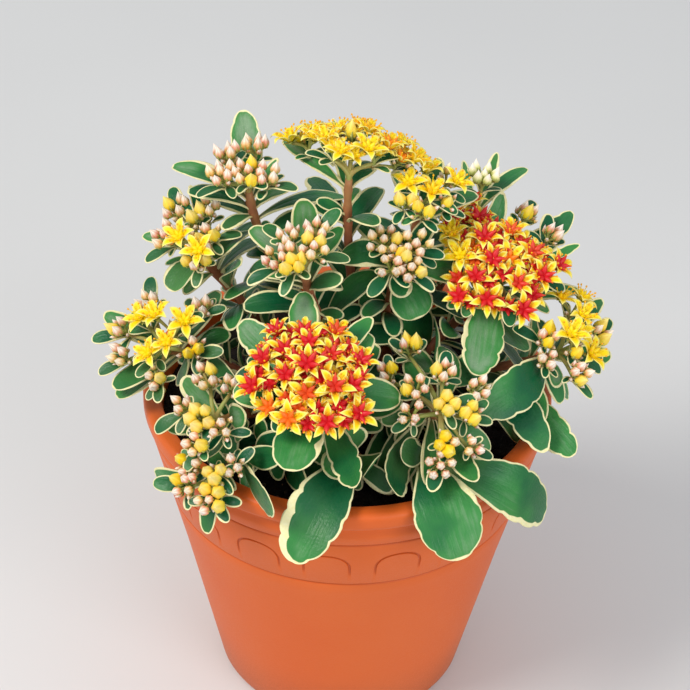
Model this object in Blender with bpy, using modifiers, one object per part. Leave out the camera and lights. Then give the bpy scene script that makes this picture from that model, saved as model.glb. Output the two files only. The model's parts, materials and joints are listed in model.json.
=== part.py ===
"""A potted variegated stonecrop in flower, built at its real size.

The plastic pot is a turned profile, filled with compost. Sixteen leafy shoots stand in plain holes in it, and
fourteen of them carry a flat flower head of rays, buds and open flowers. Lengths below are in millimetres over
the ground, with the pot's axis on Z and the photograph's viewer at -Y. Places marked as seen are pixels read by
eye in the photograph, which a pinhole view of the scene turns back into places in space.
"""
import math
import random
from typing import NamedTuple

import bmesh
import bpy
import numpy as np
from mathutils import Vector
from mathutils.bvhtree import BVHTree


# The pot, in millimetres
POT_HEIGHT = 120.0
RIM_RADIUS = 70.0
RIM_ROLL = 6.0
RIM_LEVEL = 116.5
BASE_RADIUS = 44.0
SOIL_DROP = 11.0
SOIL_TOP = POT_HEIGHT - SOIL_DROP

# The photograph's view of it
VIEW_ELEVATION = math.radians(37.2)
VIEW_ROLL = math.radians(1.7)
VIEW_DISTANCE = 745.0
VIEW_FOCAL = 2200.0
VIEW_CENTRE = 345.0
VIEW_TARGET = np.array((-1.3, 0.0, 135.7))
FORWARD = np.array((0.0, math.cos(VIEW_ELEVATION), -math.sin(VIEW_ELEVATION)))
UPWARD = np.array((0.0, math.sin(VIEW_ELEVATION), math.cos(VIEW_ELEVATION)))
RIGHT = np.array((1.0, 0.0, 0.0))
UP = np.array((0.0, 0.0, 1.0))
EYE = VIEW_TARGET - VIEW_DISTANCE * FORWARD


def seen_at(pixel, height):
    """The point at that height which the photograph shows at that pixel."""
    across, rise = pixel[0] - VIEW_CENTRE, VIEW_CENTRE - pixel[1]
    turn, lean = math.cos(VIEW_ROLL), math.sin(VIEW_ROLL)
    u, v = across * turn - rise * lean, across * lean + rise * turn
    ray = FORWARD + (RIGHT * u + UPWARD * v) / VIEW_FOCAL
    return EYE + ray * (height - EYE[2]) / ray[2]


def seen_on(pixel, point, normal):
    """The point of a plane which the photograph shows at that pixel."""
    across, rise = pixel[0] - VIEW_CENTRE, VIEW_CENTRE - pixel[1]
    turn, lean = math.cos(VIEW_ROLL), math.sin(VIEW_ROLL)
    u, v = across * turn - rise * lean, across * lean + rise * turn
    ray = FORWARD + (RIGHT * u + UPWARD * v) / VIEW_FOCAL
    return EYE + ray * ((point - EYE) @ normal) / (ray @ normal)


def unit(v):
    v = np.asarray(v, float)
    return v / np.linalg.norm(v)


def bezier(points, t):
    """A point of the curve that these control points draw, at t from 0 to 1."""
    points = [np.asarray(p, float) for p in points]
    while len(points) > 1:
        points = [a * (1 - t) + b * t for a, b in zip(points, points[1:])]
    return points[0]


class Cluster(NamedTuple):
    """One ray of a cyme: its flowers and buds crowd round one point."""
    seen: tuple         # pixel of its middle
    blooms: int
    buds: int
    ripe: float = 0.25  # share of the buds that are yellow and about to open
    age: float = 0.0    # 0: centres still yellow, 1: dark red


class Leaf(NamedTuple):
    tip: tuple          # pixel where its tip shows
    rise: float         # height of the tip over the leaf's root, mm
    width: float        # mm
    at: float = 0.95    # place of its root along the stem
    arch: float = 0.12  # bulge of the midrib over its chord, share of the length
    face: float = 0.0   # 1 turns its upper side to the viewer


class Shoot(NamedTuple):
    name: str
    foot: tuple         # where it leaves the soil, mm
    seen: tuple         # pixel of the middle of its head
    height: float       # of the head over the pot's rim, mm
    toward: float       # lean of the head towards the viewer, degrees
    right: float        # and to the viewer's right
    clusters: tuple
    leaves: tuple
    stalk: float = 13.0
    fill: int = 7       # leaves lower down, placed by rule


SHOOTS = (
    Shoot("back_left", (-8, 8), (245, 160), 84, 5, -5,
        (Cluster((226, 149), 0, 5, 0.0), Cluster((255, 139), 0, 5, 0.0), Cluster((220, 170), 0, 6, 0.0),
         Cluster((248, 168), 0, 8, 0.2), Cluster((268, 172), 0, 4, 0.0)),
        (Leaf((243, 110), 26, 9.5), Leaf((172, 167), 9, 8), Leaf((187, 191), 0, 8),
         Leaf((288, 188), 0, 7), Leaf((345, 197), 3, 8, 0.86), Leaf((211, 198), 1, 6, 0.86),
         Leaf((278, 158), 10, 4))),
    Shoot("left_high", (-14, 0), (186, 228), 62, 20, -18,
        (Cluster((176, 203), 0, 5, 0.25), Cluster((207, 204), 0, 4, 0.25),
         Cluster((163, 233), 0, 6, 0.35), Cluster((190, 214), 0, 1, 1.0), Cluster((192, 240), 2, 1, 1.0),
         Cluster((209, 230), 0, 2, 0.5), Cluster((195, 254), 0, 5, 0.4)),
        (Leaf((190, 185), 20, 5), Leaf((142, 235), 2, 5), Leaf((170, 291), -6, 10),
         Leaf((232, 248), 4, 8), Leaf((255, 221), 12, 7), Leaf((165, 264), -2, 4),
         Leaf((262, 240), 6, 9, 0.85))),
    Shoot("left_low", (-20, -8), (155, 335), 34, 28, -20,
        (Cluster((141, 318), 1, 0), Cluster((170, 327), 3, 0, 0, 0.1), Cluster((146, 352), 1, 0),
         Cluster((145, 299), 0, 4, 0.3), Cluster((116, 325), 0, 3, 0.3), Cluster((116, 354), 0, 4, 0.5),
         Cluster((202, 302), 0, 3, 0.3), Cluster((192, 347), 0, 3, 0.3), Cluster((153, 380), 0, 3, 0.3)),
        (Leaf((104, 314), 4, 7), Leaf((113, 388), -6, 9), Leaf((117, 398), -9, 10, 0.86),
         Leaf((219, 290), 14, 9), Leaf((231, 334), 4, 7), Leaf((180, 385), -6, 7),
         Leaf((225, 322), 2, 9, 0.8))),
    Shoot("front_left", (-18, -16), (204, 408), 30, 30, -18,
        (Cluster((204, 375), 0, 5, 0.3), Cluster((228, 382), 0, 3, 0.0), Cluster((178, 403), 0, 3, 0.0),
         Cluster((197, 416), 0, 5, 1.0), Cluster((220, 428), 0, 3, 0.2), Cluster((192, 444), 0, 4, 0.3)),
        (Leaf((182, 378), 10, 8), Leaf((167, 429), 0, 5), Leaf((210, 457), -3, 5), Leaf((246, 414), 6, 8),
         Leaf((243, 438), 2, 8), Leaf((225, 392), 8, 6))),
    Shoot("front_low_left", (-10, -24), (205, 478), 14, 44, -22,
        (Cluster((186, 463), 0, 5, 0.3), Cluster((214, 472), 0, 3, 1.0), Cluster((231, 464), 0, 3, 0.0),
         Cluster((181, 485), 0, 4, 0.2), Cluster((208, 500), 0, 6, 0.35)),
        (Leaf((154, 474), 4, 8), Leaf((207, 534), -10, 6), Leaf((273, 511), -2, 11, 0.76),
         Leaf((205, 452), 8, 8)), 10),
    Shoot("front_bloom", (2, -22), (308, 372), 46, 26, -4,
        (Cluster((289, 338), 3, 0, 0, 0.7), Cluster((325, 343), 3, 0, 0, 0.7),
         Cluster((272, 372), 3, 0, 0, 0.9), Cluster((348, 372), 3, 0, 0, 0.7),
         Cluster((284, 403), 3, 0, 0, 0.5), Cluster((336, 405), 3, 0, 0, 0.8),
         Cluster((308, 370), 1, 0, 0, 1.0)),
        (Leaf((303, 292), 16, 9), Leaf((240, 322), 8, 10), Leaf((233, 395), -2, 10),
         Leaf((290, 471), -8, 14), Leaf((301, 439), -2, 6), Leaf((314, 432), -2, 5),
         Leaf((400, 399), 0, 10), Leaf((372, 335), 10, 9), Leaf((356, 488), -6, 9, 0.8),
         Leaf((372, 318), 12, 6))),
    Shoot("centre_left", (-2, 2), (300, 246), 70, 18, -6,
        (Cluster((287, 231), 0, 4, 0.0), Cluster((316, 225), 0, 5, 0.1), Cluster((314, 245), 0, 6, 0.3),
         Cluster((273, 254), 0, 5, 0.0), Cluster((291, 258), 0, 6, 0.4)),
        (Leaf((303, 199), 22, 8.5), Leaf((250, 228), 8, 7), Leaf((342, 227), 8, 6),
         Leaf((262, 273), -2, 5), Leaf((251, 266), -1, 9, 0.86), Leaf((341, 284), -3, 8, 0.86)), fill=9),
    Shoot("back_centre", (4, 10), (352, 146), 92, 2, 3,
        (Cluster((305, 134), 3, 0, 0, 0.1), Cluster((333, 144), 2, 0, 0, 0.2),
         Cluster((354, 128), 3, 1, 1, 0.3), Cluster((379, 147), 2, 0, 0, 0.3),
         Cluster((403, 151), 2, 1, 0.5, 0.2)),
        (Leaf((374, 163), 4, 7), Leaf((283, 140), 4, 6), Leaf((310, 178), -2, 8, 0.8),
         Leaf((333, 118), 12, 4))),
    Shoot("back_right", (12, 8), (425, 184), 78, 12, 6,
        (Cluster((416, 177), 2, 0, 0, 0.1), Cluster((433, 187), 1, 0, 0, 0.2),
         Cluster((451, 172), 1, 1, 0.5, 0.0), Cluster((405, 195), 0, 2, 1.0),
         Cluster((424, 206), 0, 2, 1.0), Cluster((451, 196), 0, 1, 1.0)),
        (Leaf((440, 158), 14, 6), Leaf((478, 194), 4, 7), Leaf((394, 170), 8, 6), Leaf((392, 212), -4, 5))),
    Shoot("centre_right", (8, 0), (401, 248), 62, 28, 4,
        (Cluster((384, 237), 0, 8, 0.3), Cluster((417, 241), 0, 6, 0.2), Cluster((403, 250), 0, 1, 1.0),
         Cluster((391, 265), 0, 4, 0.0), Cluster((412, 266), 0, 6, 0.25)),
        (Leaf((354, 212), 8, 8), Leaf((436, 217), 12, 6), Leaf((339, 257), -2, 10),
         Leaf((402, 298), -4, 7), Leaf((418, 319), -8, 14, 0.88), Leaf((465, 274), -2, 11),
         Leaf((368, 288), 8, 10, 0.5, 0.12, 0.6)), fill=9),
    Shoot("far_right", (16, 14), (485, 172), 66, -8, 8,
        (Cluster((485, 172), 0, 8, 0.0),),
        (Leaf((527, 168), 8, 6), Leaf((497, 153), 10, 4), Leaf((464, 160), 8, 4))),
    Shoot("right_bloom", (16, -2), (506, 262), 54, 26, 12,
        (Cluster((468, 212), 3, 0, 0, 0.9), Cluster((456, 245), 2, 0, 0, 0.1),
         Cluster((484, 250), 2, 0, 0, 1.0), Cluster((512, 246), 3, 0, 0, 0.5),
         Cluster((545, 265), 3, 0, 0, 0.7), Cluster((474, 290), 3, 0, 0, 0.7),
         Cluster((512, 298), 3, 0, 0, 0.8), Cluster((530, 208), 0, 3, 0.3),
         Cluster((557, 230), 0, 3, 0.4)),
        (Leaf((503, 192), 18, 7), Leaf((573, 212), 14, 9), Leaf((580, 244), 4, 4), Leaf((440, 205), 6, 7),
         Leaf((474, 375), -8, 13), Leaf((580, 290), 2, 7), Leaf((447, 308), 0, 5),
         Leaf((549, 313), -2, 6), Leaf((525, 352), -6, 12, 0.85), Leaf((527, 377), -12, 10, 0.8),
         Leaf((402, 307), 4, 13, 0.42, 0.12, 0.6)), fill=9),
    Shoot("front_right", (10, -18), (445, 402), 34, 30, 6,
        (Cluster((408, 340), 0, 3, 0.4), Cluster((385, 369), 0, 3, 0.6), Cluster((415, 385), 0, 5, 0.4),
         Cluster((445, 368), 0, 4, 0.5), Cluster((410, 412), 0, 4, 0.0), Cluster((448, 402), 0, 4, 1.0),
         Cluster((473, 412), 0, 3, 1.0), Cluster((480, 388), 0, 4, 0.2), Cluster((448, 443), 0, 4, 0.5),
         Cluster((475, 447), 0, 3, 0.0), Cluster((441, 466), 0, 6, 0.0)),
        (Leaf((406, 361), 10, 6), Leaf((446, 347), 8, 9), Leaf((504, 386), 4, 6), Leaf((476, 482), -6, 7),
         Leaf((426, 486), -8, 6), Leaf((398, 494), -8, 10, 0.86)), fill=9),
    Shoot("right_low", (14, -14), (572, 338), 36, 22, 22,
        (Cluster((578, 305), 3, 0, 0, 0.1), Cluster((550, 333), 0, 4, 0.3),
         Cluster((550, 358), 0, 3, 0.0), Cluster((580, 345), 3, 1, 1, 0.1),
         Cluster((583, 372), 0, 4, 0.3), Cluster((605, 330), 0, 4, 0.3)),
        (Leaf((556, 388), -6, 7), Leaf((531, 431), -8, 12, 0.78, 0.12, 0.8),
         Leaf((574, 456), -10, 11, 0.66, 0.12, 0.8), Leaf((546, 452), -8, 11, 0.6, 0.12, 0.8),
         Leaf((478, 415), 2, 13, 0.9, 0.12, 0.5), Leaf((604, 300), 10, 7), Leaf((612, 355), 2, 7))),
    Shoot("front_tuft_left", (4, -31), (352, 452), 12, 20, 0, (),
        (Leaf((292, 562), -14, 17, 0.8, 0.2), Leaf((312, 442), 2, 12, 0.95), Leaf((330, 478), 2, 11, 0.9),
         Leaf((372, 462), 8, 9, 0.9), Leaf((352, 425), 14, 9, 1.0, 0.05)), 0, 2),
    Shoot("front_tuft_right", (24, -28), (425, 455), 12, 20, 8, (),
        (Leaf((462, 560), -14, 19, 0.8, 0.2), Leaf((545, 515), -12, 16, 0.92, 0.16),
         Leaf((400, 450), 6, 9, 0.9), Leaf((452, 440), 10, 9, 1.0, 0.05)), 0, 2),
)

GOLDEN = math.radians(137.5)
SIDEWAYS = np.array((1.0, 0.1, -0.2))   # no stem or flower points this way
LEAF_BREADTH = 1.15     # over the width that shows, as few face the viewer squarely
STEM_BASE = 1.8
STEM_TIP = 1.2
STEM_SUNK = 13.0
RAY_RADIUS = 0.7
BLOOM_RADIUS = 6.7
PETAL_LIFT = 1.2        # of a petal's tip over its root
YOUNG_BUD = (1.42, 4.9)     # radius and length
RIPE_BUD = (1.95, 6.5)
BUD_APART = 3.8         # from bud to bud round their ray
BLADE_HALF = 0.4
GAP = 0.35              # kept between one shoot and the next
CELL = 0.75             # of the grid that keeps them apart
SEED = 11


class Blade(NamedTuple):
    """A leaf as it has grown: its midrib, its upper side and its size."""
    at: float
    root: np.ndarray
    tip: np.ndarray
    up: np.ndarray
    width: float
    arch: float
    tone: float         # 0 to 1, told apart in colour only


class Bloom(NamedTuple):
    azimuth: float      # round its ray, in order
    heart: np.ndarray
    axis: np.ndarray
    turn: float
    size: float
    age: float


class Bud(NamedTuple):
    azimuth: float
    seat: np.ndarray
    axis: np.ndarray
    radius: float
    length: float
    ripe: bool


class Ray(NamedTuple):
    """A ray of a cyme, with the flowers and buds that its end forks into."""
    fork: np.ndarray
    lean: np.ndarray
    middle: list        # one bud at most
    ringed: list


class Plant(NamedTuple):
    name: str
    stem: list
    base: np.ndarray
    axis: np.ndarray
    rays: list
    blades: list
    trees: list


def sides_of(axis):
    """Two directions square to an axis and to each other."""
    side = unit(np.cross(axis, SIDEWAYS))
    return side, np.cross(axis, side)


def leaf_half(s):
    """Half the width of a spoon-shaped leaf 1 wide, at s from its root to its tip."""
    swell = 0.2 + 0.8 * np.sin(0.5 * np.pi * np.minimum(1.0, s / 0.66)) ** 1.6
    return 0.5 * swell * np.sqrt(np.maximum(0.0, 1.0 - np.maximum(0.0, (s - 0.62) / 0.38) ** 2.4))


def blade_surface(blade, s, c):
    """Points of a leaf at s along it and c across it, from -1 to 1, where s and c are arrays."""
    chord = blade.tip - blade.root
    lift = blade.up * blade.arch * np.linalg.norm(chord)
    across = unit(np.cross(chord, blade.up))
    half = blade.width * leaf_half(s) * c
    return blade.root + chord * s[:, None] + lift * (4.0 * s * (1.0 - s))[:, None] + across * half[:, None]


def blade_points(blade, first, apart):
    length = np.linalg.norm(blade.tip - blade.root) * (1.0 - first)
    s, c = np.meshgrid(np.linspace(first, 0.99, int(length / apart) + 3),
                       np.linspace(-1.0, 1.0, int(blade.width / apart) + 2))
    return blade_surface(blade, s.ravel(), c.ravel())


def off_pot(points):
    """Whether these points keep clear of the pot's lip and of the soil."""
    out = np.hypot(points[:, 0], points[:, 1])
    inside = out <= RIM_RADIUS - RIM_ROLL - 1.2
    lip = ~inside & (out < RIM_RADIUS + 1.2) & (points[:, 2] < POT_HEIGHT + 1.2)
    return not (lip | inside & (points[:, 2] < SOIL_TOP + 3.0)).any()


class Room:
    """A grid over the pot that knows which stem, leaf, head and flower or bud fills each cell."""

    def __init__(self):
        self.low = np.array((-110.0, -110.0, SOIL_TOP - 12.0))
        self.grids = {kind: np.zeros((294, 260, 180), np.int16) for kind in ("stem", "leaf", "head")}

    def cells(self, points):
        at = ((np.atleast_2d(points) - self.low) / CELL).astype(int)
        return tuple(np.clip(at, 0, np.array((293, 259, 179))).T)

    def take(self, kind, owner, points, radius):
        reach = int(radius / CELL) + 1
        ball = np.mgrid[-reach:reach + 1, -reach:reach + 1, -reach:reach + 1].reshape(3, -1).T * CELL
        ball = ball[np.linalg.norm(ball, axis=1) <= radius + 0.3 * CELL]
        spread = (np.atleast_2d(points)[:, None] + ball[None]).reshape(-1, 3)
        self.grids[kind][self.cells(spread)] = owner

    def free(self, kind, points, own=0):
        held = self.grids[kind][self.cells(points)]
        return not ((held != 0) & (held != own)).any()


def stem_curve(shoot):
    axis = unit((math.tan(math.radians(shoot.right)), -math.tan(math.radians(shoot.toward)), 1.0))
    centre = seen_at(shoot.seen, RIM_LEVEL + shoot.height)
    top = centre - axis * shoot.stalk
    foot = np.array((*shoot.foot, SOIL_TOP))
    reach = np.linalg.norm(top - foot)
    ease = min(1.0, max(0.0, (top[2] - 125.0) / 40.0)) if shoot.clusters else 1.0
    arrive = unit(axis * (1.0, 1.0, ease))
    return [foot, foot + UP * 0.32 * reach, top - arrive * 0.34 * reach, top], centre, axis


def bloom_points(bloom):
    """Points over a flower's five petals."""
    side, other = sides_of(bloom.axis)
    reach = np.array((0.15, 0.35, 0.35, 0.35, 0.55, 0.55, 0.55, 0.77, 0.98))
    aside = np.array((0.0, 0.0, 0.18, -0.18, 0.0, 0.11, -0.11, 0.0, 0.0))
    points = []
    for k in range(5):
        turn = bloom.turn + k * 0.4 * math.pi
        along = side * math.cos(turn) + other * math.sin(turn)
        across = np.cross(bloom.axis, along)
        out = along * reach[:, None] + across * aside[:, None]
        rise = bloom.axis * PETAL_LIFT * reach[:, None]
        points.append(bloom.heart + out * BLOOM_RADIUS * bloom.size + rise)
    return np.concatenate(points)


def bud_points(bud):
    side, other = sides_of(bud.axis)
    turns = np.arange(6) * math.pi / 3.0
    ring = side * np.cos(turns)[:, None] + other * np.sin(turns)[:, None]
    at = np.array((0.1, 0.42, 0.75))[:, None, None] * bud.length
    wide = np.array((0.6, 1.1, 0.5))[:, None, None] * bud.radius
    return (bud.seat + bud.axis * at + ring[None] * wide).reshape(-1, 3)


def line_points(start, end, first=0.0):
    return start + (end - start) * np.linspace(first, 1.0, int(np.linalg.norm(end - start)) + 2)[:, None]


def circle(centre, axis, radius, turns):
    side, other = sides_of(axis)
    return [centre + (side * math.cos(turn) + other * math.sin(turn)) * radius for turn in turns]


def even(count, start=0.0):
    return [start + 2.0 * math.pi * k / count for k in range(count)]


def bloom_rings(bloom):
    """A flower's underside, the tips and dips of its petals, and the tops of its carpels."""
    size, axis = bloom.size, bloom.axis
    return (circle(bloom.heart - axis * 1.3, axis, 1.0, even(5, bloom.turn)),
            circle(bloom.heart + axis * PETAL_LIFT, axis, BLOOM_RADIUS * size, even(5, bloom.turn)),
            circle(bloom.heart, axis, 2.3 * size, even(5, bloom.turn + 0.2 * math.pi)),
            circle(bloom.heart + axis * 2.3, axis, 2.0 * size, even(5, bloom.turn)))


def between(low, high):
    """Facets between two rings of like counts, by their points' places in low + high."""
    n = len(low)
    return [(k, (k + 1) % n, n + (k + 1) % n, n + k) for k in range(n)]


def item_tree(item, fork):
    """The surface of a flower or bud and its stalk, but for the stalk's root."""
    if isinstance(item, Bloom):
        under, tips, dips, crown = bloom_rings(item)
        root = circle(fork + (item.heart - fork) * 0.35, item.axis, 0.75, even(5, item.turn))
        points = root + under + tips + dips + crown + [item.heart]
        faces = between(root, under)
        for k in range(5):
            before, after = (k + 4) % 5, (k + 1) % 5
            faces += [(5 + k, 10 + k, 15 + k), (5 + k, 15 + before, 10 + k), (10 + k, 15 + k, 20 + k),
                      (10 + k, 20 + k, 15 + before), (20 + k, 25, 20 + after), (15 + k, 20 + k, 20 + after)]
    else:
        middle = item.seat + item.axis * item.length * 0.42
        root = circle(fork + (middle - fork) * 0.35, item.axis, 0.8, even(4))
        wide = circle(middle, item.axis, item.radius * 1.12, even(4))
        points = root + wide + [item.seat + item.axis * item.length]
        faces = between(root, wide) + [(4 + k, 8, 4 + (k + 1) % 4) for k in range(4)]
    return BVHTree.FromPolygons([tuple(p) for p in points], faces)


SHIFTS = sorted([(lift, swing, spread) for lift in (0.0, 0.8, -0.8, 1.6, -1.6, 2.4, -2.4, 3.3, -3.3)
                 for swing in (0.0, 0.2, -0.2) for spread in (1.0, 1.2, 0.85, 1.45)],
                key=lambda t: (abs(t[0]) + abs(t[1]) * 3.0 + abs(t[2] - 1.0) * 3.0, t))


def settle_item(room, number, ray, trees, bloom, cluster, azimuth, far, draw):
    """Adds a flower or bud to a ray where it has room."""
    side, other = sides_of(ray.lean)
    wobble = np.array([draw.uniform(-0.1, 0.1) for _ in range(3)])
    lift, turn, size = draw.uniform(-0.7, 0.7), draw.uniform(0.0, 1.2566), draw.uniform(0.9, 1.08)
    age, ripe = min(1.0, max(0.0, cluster.age + draw.uniform(-0.18, 0.18))), draw.random() < cluster.ripe
    sector = 2.0 * math.pi / max(1, cluster.blooms + cluster.buds)
    for more, swing, spread in SHIFTS:
        angle = azimuth + swing * sector
        away = side * math.cos(angle) + other * math.sin(angle)
        heart = ray.fork + ray.lean * (6.5 + lift + more - 0.02 * far * far) + away * far * spread
        face = unit(ray.lean + away * 0.045 * far + wobble)
        if bloom:
            item = Bloom(angle, heart, face, turn + more * 0.4, size, age)
            points, stalk = bloom_points(item), heart - face * 1.3
        else:
            radius, length = (size * value for value in (RIPE_BUD if ripe else YOUNG_BUD))
            item = Bud(angle, heart - face * length * 0.5, face, radius, length, ripe)
            points, stalk = bud_points(item), item.seat
        stem = line_points(ray.fork, stalk, 0.5)
        if not all(room.free("head", p, number) and room.free("stem", p, number) for p in (points, stem)):
            continue
        tree = item_tree(item, ray.fork)
        if any(tree.overlap(there) for there, whose in trees if whose is not ray):
            continue
        trees.append((tree, None))
        if not bloom:
            points = line_points(item.seat, item.seat + face * length)
        return item, [(points, 1.1 if bloom else radius), (stem, 0.6)]
    return None, []


def ray_tree(base, fork, first, wide):
    low = circle(base + (fork - base) * first, unit(fork - base), wide, even(4))
    high = circle(fork, unit(fork - base), 1.2, even(4))
    return BVHTree.FromPolygons([tuple(p) for p in low + high], between(low, high))


def grow_head(room, number, shoot, plant, centre, draw):
    """The rays of a cyme, with the flowers and buds on each."""
    parts, trees = [], []
    for cluster in shoot.clusters:
        at = seen_on(cluster.seen, centre, plant.axis)
        for _ in range(3):
            drop = 0.016 * np.linalg.norm(at - centre) ** 2
            at = seen_on(cluster.seen, centre - plant.axis * drop, plant.axis)
        out = at - plant.axis * ((at - plant.base) @ plant.axis) - plant.base
        lean = unit(plant.axis + 0.022 * out)
        ray = Ray(at - lean * 6.5, lean, [], [])
        plant.rays.append(ray)
        trees.append((ray_tree(plant.base, ray.fork, 0.4, 0.8), ray))
        plant.trees.append(ray_tree(plant.base, ray.fork, 0.02, 1.9))
        parts.append((line_points(plant.base, ray.fork, 0.3), RAY_RADIUS))
    for cluster, ray in zip(shoot.clusters, plant.rays):
        count = cluster.blooms + cluster.buds
        middle = count > 5
        ringed = count - middle
        phase = draw.uniform(0.0, 2.0 * math.pi)
        for k in range(count):
            bloom = k < cluster.blooms
            azimuth = phase + 2.0 * math.pi * (k - middle) / max(1, ringed)
            if count == 1 or middle and k == 0:
                far = 0.0
            elif bloom:
                far = 4.2 + 0.3 * cluster.blooms
            else:
                far = max(2.1, BUD_APART * 0.5 / math.sin(math.pi / ringed))
            item, taken = settle_item(room, number, ray, trees, bloom, cluster, azimuth, far, draw)
            if item:
                (ray.middle if middle and k == 0 else ray.ringed).append(item)
                parts += taken
    for points, radius in parts:
        room.take("head", number, points, radius + BLADE_HALF + GAP)
    plant.trees.extend(tree for tree, _ in trees)


def leaf_rings(blade):
    """Sections of a leaf as a thin arched plate, with waves along the edge of a large one."""
    length = np.linalg.norm(blade.tip - blade.root)
    large = length > 42.0
    if large:
        places = (0.16, 0.34, 0.52, 0.66, 0.76, 0.86, 0.94, 0.99)
    elif length > 26.0:
        places = (0.28, 0.58, 0.86, 0.985)
    else:
        places = (0.38, 0.8, 0.98)
    across = unit(np.cross(blade.tip - blade.root, blade.up))
    rings = []
    for k, s in enumerate(places):
        half = blade.width * leaf_half(np.array([s]))[0]
        if large and k in (4, 6):
            half *= 0.93
        middle = blade_surface(blade, np.array([s]), np.array([0.0]))[0]
        thick = blade.up * BLADE_HALF
        rings.append([middle - across * half + thick, middle + across * half + thick,
                      middle + across * half - thick, middle - across * half - thick])
    return rings


def leaf_tree(facet, rings):
    """A leaf's surface from a little off its facet."""
    first = [a * 0.7 + b * 0.3 for a, b in zip(facet, rings[0])]
    points, faces = list(first), []
    for k, ring in enumerate(rings):
        faces += [tuple(4 * k + n for n in face) for face in between(ring, ring)]
        points += ring
    return BVHTree.FromPolygons([tuple(p) for p in points], faces)


def settle_blade(room, number, plant, at, tip, width, arch, tone, face=0.0):
    """Adds a leaf if it has room there."""
    root = bezier(plant.stem, at)
    axis = unit(bezier(plant.stem, min(1.0, at + 0.02)) - bezier(plant.stem, min(1.0, at + 0.02) - 0.04))
    chord = unit(tip - root)
    sky = axis * (1.0 - face) - FORWARD * face
    up = sky - chord * (sky @ chord)
    if np.linalg.norm(up) < 0.2:
        return False
    blade = Blade(at, root, tip, unit(up), width, arch, tone)
    near, outer = blade_points(blade, 0.08, 1.1), blade_points(blade, 0.16, 1.1)
    if not (off_pot(near) and room.free("head", near) and room.free("stem", near, number)
            and room.free("leaf", outer)):
        return False
    if plant.trees:
        across = unit(np.cross(chord, blade.up)) * 1.2
        rise = blade.up * 0.8
        tree = leaf_tree([root - across + rise, root + across + rise, root + across - rise,
                          root - across - rise], leaf_rings(blade))
        if any(tree.overlap(there) for there in plant.trees):
            return False
    plant.blades.append(blade)
    room.take("leaf", number, blade_points(blade, 0.14, 0.7), 2.0 * BLADE_HALF + GAP)
    return True


TRIES = sorted([(rise, bend, down) for rise in (0, 2, -2, 4, -4, 6, -6, 9, -9, 12, -12)
                for bend in (0.0, 0.1, -0.1, 0.2, -0.2, -0.3) for down in (0.0, 0.04, 0.08, 0.12)],
               key=lambda t: (abs(t[0]) * 0.5 + abs(t[1]) * 9.0 + t[2] * 16.0, t[0], t[1]))


def fill_leaf(room, number, plant, at, azimuth, length, tone):
    """A leaf placed by rule, turned or shortened until it has room."""
    root, before = bezier(plant.stem, at), bezier(plant.stem, at - 0.02)
    axis = unit(root - before)
    side, other = sides_of(axis)
    for shrink in (1.0, 0.85, 0.7):
        for swing in (0, 25, -25, 50, -50, 75, -75, 100, -100, 130, -130):
            for slope in (25, 45, 5):
                turn = azimuth + math.radians(swing)
                away = side * math.cos(turn) + other * math.sin(turn)
                aim = away * math.cos(math.radians(slope)) + axis * math.sin(math.radians(slope))
                tip = root + aim * length * shrink
                if settle_blade(room, number, plant, at, tip, length * shrink * 0.4, 0.12, tone):
                    return


def grow():
    """The whole plant, in millimetres over the ground, each shoot with its own draw of chance."""
    room = Room()
    plants, centres = [], []
    for number, shoot in enumerate(SHOOTS, 1):
        stem, centre, axis = stem_curve(shoot)
        plants.append(Plant(shoot.name, stem, stem[-1] + axis * 0.3, axis, [], [], []))
        centres.append(centre)
        points = np.array([bezier(stem, t) for t in np.linspace(0.0, 1.0, 60)])
        room.take("stem", number, points, STEM_BASE + BLADE_HALF + GAP)
    for number, (shoot, plant, centre) in enumerate(zip(SHOOTS, plants, centres), 1):
        grow_head(room, number, shoot, plant, centre, random.Random(SEED * 100 + number))
    for number, (shoot, plant) in enumerate(zip(SHOOTS, plants), 1):
        draw = random.Random(SEED * 200 + number)
        for leaf in shoot.leaves:
            tone = draw.random()
            level = bezier(plant.stem, leaf.at)[2] + leaf.rise
            for more, bend, down in TRIES:
                if settle_blade(room, number, plant, leaf.at - down, seen_at(leaf.tip, level + more),
                                leaf.width * LEAF_BREADTH, leaf.arch + bend, tone, leaf.face):
                    break
    for number, (shoot, plant) in enumerate(zip(SHOOTS, plants), 1):
        draw = random.Random(SEED * 300 + number)
        phase = draw.uniform(0.0, 2.0 * math.pi)
        for k in range(shoot.fill):
            at = 0.85 - 0.6 * (k + 0.5) / shoot.fill
            length = draw.uniform(0.9, 1.1) * (19.0 + 13.0 * (1.0 - at))
            fill_leaf(room, number, plant, at, phase + k * GOLDEN, length, draw.random())
    return plants


MM = 0.001
POT_SIDES = 32
POT_WALL = 2.6
POT_FLOOR = 3.2
DRAIN_HOLES = 5
DRAIN_RADIUS = 4.0
DRAIN_RING = 27.0
NECK_STEP = 1.6
WALL_RADIUS = 69.8      # the outer wall carried on up to the rim's level
WALL_SLOPE = 0.23       # of its upper part
WALL_KNEE = 60.0        # height below which it narrows a little faster
GROOVE = 0.5            # depth of the two grooves round the pot
GROOVE_LEVELS = (105.1, 83.4)
SOIL_GAP = 0.3          # between the compost and what it touches
SOIL_LUMPS = 0.42       # height of the compost's waves
LEAF_BAND = 1.7         # height of the stem facet that a leaf grows from
CUTTERS = "cutters"


def cone_radius(z):
    """The pot's outer radius below its neck."""
    knee = WALL_RADIUS + WALL_SLOPE * (WALL_KNEE - RIM_LEVEL)
    if z > WALL_KNEE:
        return WALL_RADIUS + WALL_SLOPE * (z - RIM_LEVEL)
    return BASE_RADIUS + (knee - BASE_RADIUS) * z / WALL_KNEE


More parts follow.
